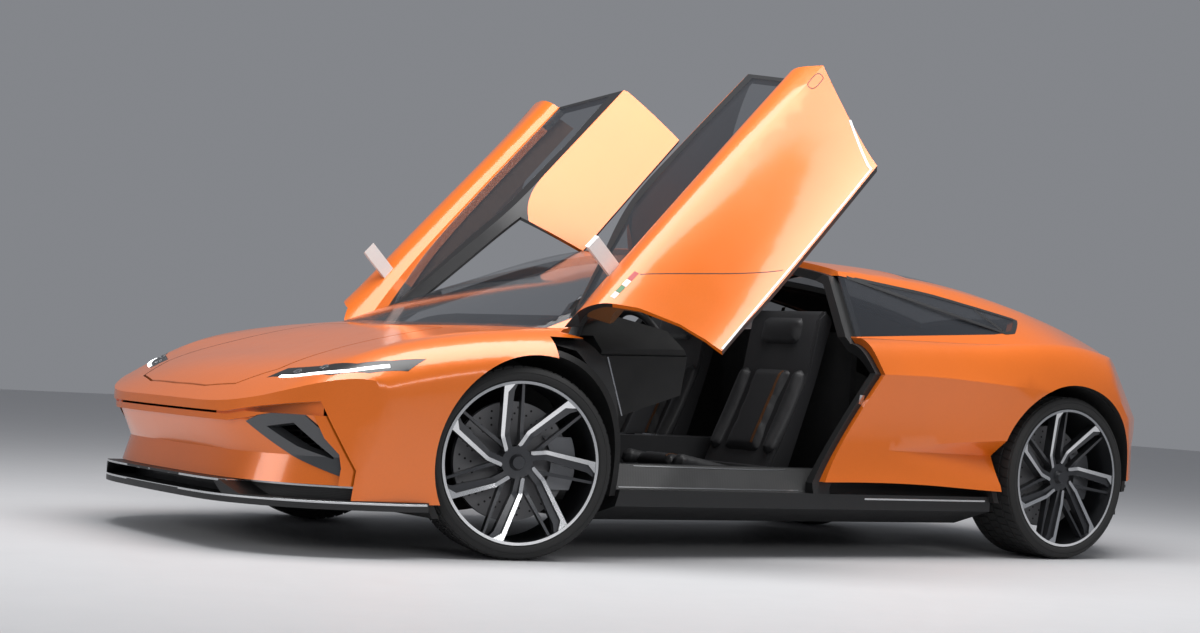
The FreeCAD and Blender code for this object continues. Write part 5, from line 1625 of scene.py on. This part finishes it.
@dataclass
class Seats:
    """Two bucket seats: shells, pads swollen by a cloth simulation, and their seams.

    Args:
        middle: How far each seat stands from the centre line.
        pads: The pads before they swell, round the plane y = 0.
        bevel: How far their edges are rounded.
        voxel: The size of the remeshed faces.
        steps: How many steps the simulation takes.
        pressure: The pressure inside a pad.
        cap: How far a point may move.
        relax: The share and the number of the smoothing steps afterwards.
        piping: The y of each line along a pad. The two lie one on the other.
        piping_size: Their width, how far they stand proud, and how far they sink in.
        lanes: Where the lines of the cushion and the back start, as x and z, and which way
            they are set on the pad.
        side: The shell's outline in the side view.
        half: Half the shell's width.
        rails: The y of the two rails.
        rail: The lowest and the highest corner of a rail that stands on the centre line.
    """

    middle: float = 0.370
    pads: tuple[Pad, ...] = (
        Pad("seat_cushion", CUSHION_REST, (-0.175, -0.128, -0.085), (0.190, 0.128, -0.030)),
        Pad("seat_cushion_side", CUSHION_REST, (-0.175, 0.138, -0.085),
            (0.192, 0.208, -0.014), True),
        Pad("seat_back", BACK_REST, (-0.105, -0.128, -0.180), (-0.038, 0.128, 0.235)),
        Pad("seat_back_side", BACK_REST, (-0.105, 0.143, -0.170), (-0.014, 0.209, 0.215),
            True),
        Pad("seat_head", HEAD_REST, (-0.075, -0.135, -0.040), (-0.016, 0.135, 0.080)))
    bevel: float = 0.018
    voxel: float = 0.008
    steps: int = 20
    pressure: float = 3.0
    cap: float = 0.016
    relax: tuple[float, int] = (0.5, 12)
    piping: Pair = (0.075, 0.075)
    piping_size: tuple[float, float, float] = (0.012, 0.0016, 0.002)
    lanes: dict[str, tuple[list[Pair], Point]] = field(default_factory=lambda: {
        "seat_cushion": ([(0.30 - 0.012 * i, 0.7) for i in range(34)], DOWN),
        "seat_back": ([(0.3, 0.43 + 0.012 * i) for i in range(30)], (-1, 0, 0))})
    side: Outline = ((0.328, 0.235), (0.328, 0.310), (0.268, 0.330), (0.000, 0.282),
                     (-0.105, 0.330), (-0.288, 0.730), (-0.330, 0.955), (-0.368, 0.990),
                     (-0.414, 0.948), (-0.338, 0.683), (-0.184, 0.235))
    half: float = 0.221
    rails: Pair = (-0.16, 0.16)
    rail: tuple[Point, Point] = ((-0.180, -0.016, 0.1905), (0.300, 0.016, 0.240))

    def build(self) -> None:
        """Makes the left seat, then its copy on the right."""
        pads = self.boxes()
        pads = self.swollen(pads)
        parts = pads + self.seams(pads)
        shell = self.shell()
        for side in Side:
            shift = Matrix.Translation((0, self.middle * side.value, 0))
            for pad in parts:
                piece = moved(pad, shift, pad.name + "_" + side.word, copy=True)
                dressed(piece, "chassis", "seat_leather")
                pad in pads
        copy = moved(shell, Matrix.Translation((0, -self.middle, 0)), "shell_copy", copy=True)
        moved(shell, Matrix.Translation((0, self.middle, 0)))
        dressed(joined("seat_shells", [shell, copy]), "chassis", "seat_leather", "seats")
        for pad in parts:
            dropped(pad)

    def boxes(self) -> list[bpy.types.Object]:
        """The pads before they swell."""
        made = []
        for pad in self.pads:
            x, z, lean = pad.rest
            place = Matrix.Translation((x, 0, z)) @ Matrix.Rotation(math.radians(lean), 4, "Y")
            piece = moved(block(pad.name, pad.low, pad.high, Finishes.LEATHER, self.bevel), place)
            made.append(piece)
            if pad.paired:
                made.append(moved(piece, MIRROR, pad.name + "_far", copy=True))
        return made

    def swollen(self, pads: list[bpy.types.Object]) -> list[bpy.types.Object]:
        """The pads remeshed, blown up as cloth, capped and subdivided."""
        scene = bpy.context.scene
        soft, starts = [], []
        for pad in pads:
            modifier = pad.modifiers.new("voxels", "REMESH")
            modifier.mode, modifier.voxel_size = "VOXEL", self.voxel
            made = self.applied(pad)
            starts.append([vertex.co.copy() for vertex in made.data.vertices])
            cloth = made.modifiers.new("cloth", "CLOTH")
            cloth.settings.use_pressure = True
            cloth.settings.uniform_pressure_force = self.pressure
            cloth.settings.effector_weights.gravity = 0
            cloth.point_cache.frame_start, cloth.point_cache.frame_end = 1, self.steps
            soft.append(made)
        scene.frame_start, scene.frame_end = 1, self.steps
        for frame_number in range(1, self.steps + 1):
            scene.frame_set(frame_number)
        done = []
        for made, start in zip(soft, starts):
            made = self.applied(made)
            for vertex, before in zip(made.data.vertices, start):
                step = vertex.co - before
                if step.length > self.cap:
                    vertex.co = before + step.normalized() * self.cap
            relax = made.modifiers.new("relax", "SMOOTH")
            relax.factor, relax.iterations = self.relax
            smooth = made.modifiers.new("smooth", "SUBSURF")
            smooth.levels = smooth.render_levels = 1
            done.append(self.applied(made))
        scene.frame_set(1)
        return done

    @staticmethod
    def applied(piece: bpy.types.Object) -> bpy.types.Object:
        """A leather copy of a piece with its modifiers made real; the piece is removed."""
        bpy.context.view_layer.update()
        seen = bpy.context.evaluated_depsgraph_get()
        mesh = bpy.data.meshes.new_from_object(piece.evaluated_get(seen))
        name = piece.name
        dropped(piece)
        mesh.name = name
        mesh.materials.clear()
        mesh.materials.append(Finishes.LEATHER.material())
        return object_of(mesh, PAD_ANGLE)

    def seams(self, pads: list[bpy.types.Object]) -> list[bpy.types.Object]:
        """Brown lines that lie on the swollen pads."""
        made = []
        for pad in pads:
            if pad.name not in self.lanes:
                continue
            tree = Skin.of_mesh(pad.data)
            starts, way = self.lanes[pad.name]
            width, thick, sink = self.piping_size
            for number, y in enumerate(self.piping):
                run = tree.line(((x, y, z) for x, z in starts), way)
                if len(run[0]) > 3:
                    made.append(ribbon(pad.name + "_line_" + str(number), run, width, thick,
                                       Finishes.TAN, sink))
        return made

    def shell(self) -> bpy.types.Object:
        """The hard back, the base and the rails."""
        parts = [extruded("back", [(x, -self.half, z) for x, z in self.side],
                          (0, self.half * 2, 0), Finishes.LEATHER, bevel=0.012)]
        for y in self.rails:
            low, high = ((corner[0], y + corner[1], corner[2]) for corner in self.rail)
            parts.append(block("rail", low, high, Finishes.TRIM, bevel=0.004))
        return joined("shell", parts)


@dataclass
class Cockpit:
    """Vents, screen, console keys and finishes of the dashboard.

    Args:
        ends: The y beyond which the dashboard's sideways faces are dark.
        end_turn: How far sideways such a face looks, as its normal's y.
        band: The heights of its brown band.
        band_turn: How far back a face of the band looks, as its normal's x.
        vents: The y of each vent.
        vent_from: The x and z from which they are set on the dashboard.
        vent: A vent's outline, as height and radius.
        slats: Where its slats are, from its middle.
        slat_half: Half a slat's size each way.
        slat_rise: How far it stands proud.
        screen_from: The point from which the driver's screen is set on the dashboard.
        screen_half: Half its size each way.
        screen_depth: Its lowest and its highest point over the dashboard.
        keys: The x of each key of the console.
        key_half: Half a key's size each way.
        key_depth: Its lowest and its highest point over the console.
    """

    ends: float = 0.6
    end_turn: float = 0.5
    band: Pair = (0.66, 0.75)
    band_turn: float = -0.6
    vents: tuple[float, ...] = (-0.60, -0.14, 0.14, 0.60)
    vent_from: Pair = (0.10, 0.775)
    vent: Outline = ((-0.002, 0.0), (-0.002, 0.036), (0.006, 0.036), (0.006, 0.030),
                     (0.0005, 0.028), (0.0005, 0.0))
    slats: tuple[float, ...] = (-0.016, 0.0, 0.016)
    slat_half: Pair = (0.026, 0.002)
    slat_rise: float = 0.005
    screen_from: Point = (0.0, 0.37, 0.800)
    screen_half: Pair = (0.062, 0.105)
    screen_depth: Pair = (-0.004, 0.006)
    keys: tuple[float, ...] = (0.42, 0.30, 0.18, 0.06)
    key_half: Pair = (0.018, 0.034)
    key_depth: Pair = (-0.003, 0.005)

    def panel(self, face: bmesh.types.BMFace) -> int:
        """1 for the dashboard's dark ends, 2 for its brown band, 0 elsewhere."""
        at, normal = face.calc_center_median(), face.normal
        if abs(at.y) > self.ends and abs(normal.y) > self.end_turn:
            return 1
        low, high = self.band
        return 2 if normal.x < self.band_turn and low < at.z < high else 0

    def build(self) -> None:
        """Dresses the dashboard and makes the parts that lie on it."""
        restyled("dashboard", "dashboard_panels", "chassis", None,
                 (Finishes.LEATHER, Finishes.LINER, Finishes.TAN), self.panel)
        dash = Skin(("dashboard",))
        self.vent_rings(dash)
        place = dash.standing(self.screen_from, FORWARDS)
        if place is not None:
            dressed(plate("driver_screen", place, self.screen_half, self.screen_depth,
                          Finishes.DARK_GLASS, bevel=0.003), "chassis")
        for number, x in enumerate(self.keys):
            place = dash.standing((x, 0.0, 1.0), DOWN)
            if place is not None:
                finish = Finishes.STEEL if number % 2 else Finishes.DARK_GLASS
                dressed(plate("console_key_" + str(number), place, self.key_half,
                              self.key_depth, finish, bevel=0.002), "chassis")

    def vent_rings(self, dash: Skin) -> None:
        """The round vents with their slats."""
        rings = []
        x, z = self.vent_from
        wide, high = self.slat_half
        for y in self.vents:
            place = dash.standing((x, y, z), FORWARDS)
            if place is None:
                continue
            rings.append(lathed("ring", self.vent, place, segments=40, finish=Finishes.STEEL))
            for slat in self.slats:
                bar = block("slat", (-wide, slat - high, 0.0),
                            (wide, slat + high, self.slat_rise), Finishes.TRIM, bevel=0.0008)
                rings.append(moved(bar, place))
        dressed(joined("dash_vents", rings), "chassis")


@dataclass
class CarriedOver:
    """CAD nodes whose shape stays, with the finish of each."""

    finishes: dict[str, Finish] = field(default_factory=lambda: {
        "rear_panel": Finishes.TRIM, "tail_lamps": Finishes.TAIL,
        "sills": Finishes.CARBON, "aperture_frames": Finishes.CARBON,
        "intake_bezels": Finishes.BEZEL, "front_splitter": Finishes.CARBON,
        "floor": Finishes.LINER, "wheel_housings": Finishes.LINER,
        "battery": Finishes.BATTERY, "bulkheads": Finishes.CARPET,
        "luggage_trays": Finishes.CARPET,
        "steering_wheel": Finishes.LEATHER,
        "knuckle_front_left": Finishes.CALIPER, "knuckle_front_right": Finishes.CALIPER,
        "rear_hub_carriers": Finishes.CALIPER, "wishbones": Finishes.LINER})

    def build(self) -> None:
        """Gives every node left its material."""
        for node, finish in self.finishes.items():
            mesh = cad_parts[node].data
            mesh.materials.clear()
            mesh.materials.append(finish.material())
            LOG.info("%s: %s", node, finish.name)


@dataclass(frozen=True)
class SoftLight:
    """A soft rectangular light that looks at a point.

    Args:
        name: Its name.
        at: Where it stands.
        aim: The point that it looks at.
        wide: Its width in metres.
        deep: Its depth in metres.
        power: Its power in watts.
    """

    name: str
    at: Point
    aim: Point
    wide: float
    deep: float
    power: float

    def build(self) -> None:
        """Makes the light."""
        light = bpy.data.lights.new(self.name, "AREA")
        light.shape = "RECTANGLE"
        light.size, light.size_y = self.wide, self.deep
        light.energy = self.power
        made = linked(self.name, light)
        made.location = self.at
        made.rotation_euler = (Vector(self.aim) - Vector(self.at)).to_track_quat(
            "-Z", "Y").to_euler()


@dataclass
class Studio:
    """The floor, the lights and the camera.

    Args:
        floor_size: The floor's width in metres.
        sky: The colour of the light from all round.
        sky_strength: Its strength.
        lights: A large light overhead, a side strip and a weak fill.
        camera_at: Where the camera stands.
        yaw: Its turn about Z, in degrees.
        pitch: How far it looks up, in degrees.
        roll: How far it is tilted, in degrees.
        lens: Its focal length in millimetres.
        sensor: Its sensor's width in millimetres.
    """

    floor_size: float = 40.0
    sky: Colour = (0.85, 0.88, 0.95)
    sky_strength: float = 0.27
    lights: tuple[SoftLight, ...] = (
        SoftLight("overhead", (0.5, 1.0, 4.6), (0.0, 0.0, 0.4), 6.5, 3.2, 350.0),
        SoftLight("side_strip", (1.5, 7.5, 2.6), (0.0, 0.0, 0.6), 7.0, 0.9, 80.0),
        SoftLight("nose_fill", (7.5, 0.5, 2.4), (1.5, 0.0, 0.4), 3.0, 1.6, 65.0))
    camera_at: Point = (5.379, 7.369, 0.689)
    yaw: float = -124.311
    pitch: float = 1.424
    roll: float = 3.283
    lens: float = 64.674
    sensor: float = 36.0

    def build(self) -> None:
        """Makes the studio."""
        self.floor()
        self.background()
        for light in self.lights:
            light.build()
        self.camera()

    def floor(self) -> None:
        """A plain pale floor."""
        half = self.floor_size / 2
        corners = [(-half, -half, 0), (half, -half, 0), (half, half, 0), (-half, half, 0)]
        made = mesh_of("studio_floor", corners, [(0, 1, 2, 3)], Finishes.FLOOR, sharp=None)

    def background(self) -> None:
        """A weak light from all round."""
        world = bpy.data.worlds.new("studio")
        bpy.context.scene.world = world
        world.use_nodes = True
        world.node_tree.nodes.clear()
        graph = Graph(world.node_tree)
        shade = graph.node("ShaderNodeBackground", None, {
            "Color": self.sky, "Strength": self.sky_strength})
        graph.node("ShaderNodeOutputWorld", None, {"Surface": shade})

    def camera(self) -> None:
        """The camera at the photograph's place and angle."""
        yaw, pitch, roll = (math.radians(a) for a in (self.yaw, self.pitch, self.roll))
        ahead = Vector((math.cos(pitch) * math.cos(yaw), math.cos(pitch) * math.sin(yaw),
                        math.sin(pitch)))
        right = ahead.cross(Vector((0, 0, 1))).normalized()
        up = right.cross(ahead)
        right, up = (right * math.cos(roll) + up * math.sin(roll),
                     up * math.cos(roll) - right * math.sin(roll))
        data = bpy.data.cameras.new("camera")
        data.lens, data.sensor_width = self.lens, self.sensor
        data.clip_end = 200.0
        made = linked("camera", data)
        made.matrix_world = Matrix.Translation(Vector(self.camera_at)) @ Matrix(
            (right, up, -ahead)).transposed().to_4x4()
        bpy.context.scene.camera = made


def main() -> None:
    """Builds the sub-assemblies in order."""
    logging.basicConfig(level=logging.INFO, format="%(name)s %(message)s")
    bpy.context.scene.view_settings.view_transform = "Standard"
    for assembly in (Studio(), CarriedOver(), Bodywork(), Wheels(), Tyres(), Headlamps(),
                     DoorDetails(), Edging(), Intakes(), Seats(), Cockpit()):
        assembly.build()


if __name__ == "__main__":
    main()
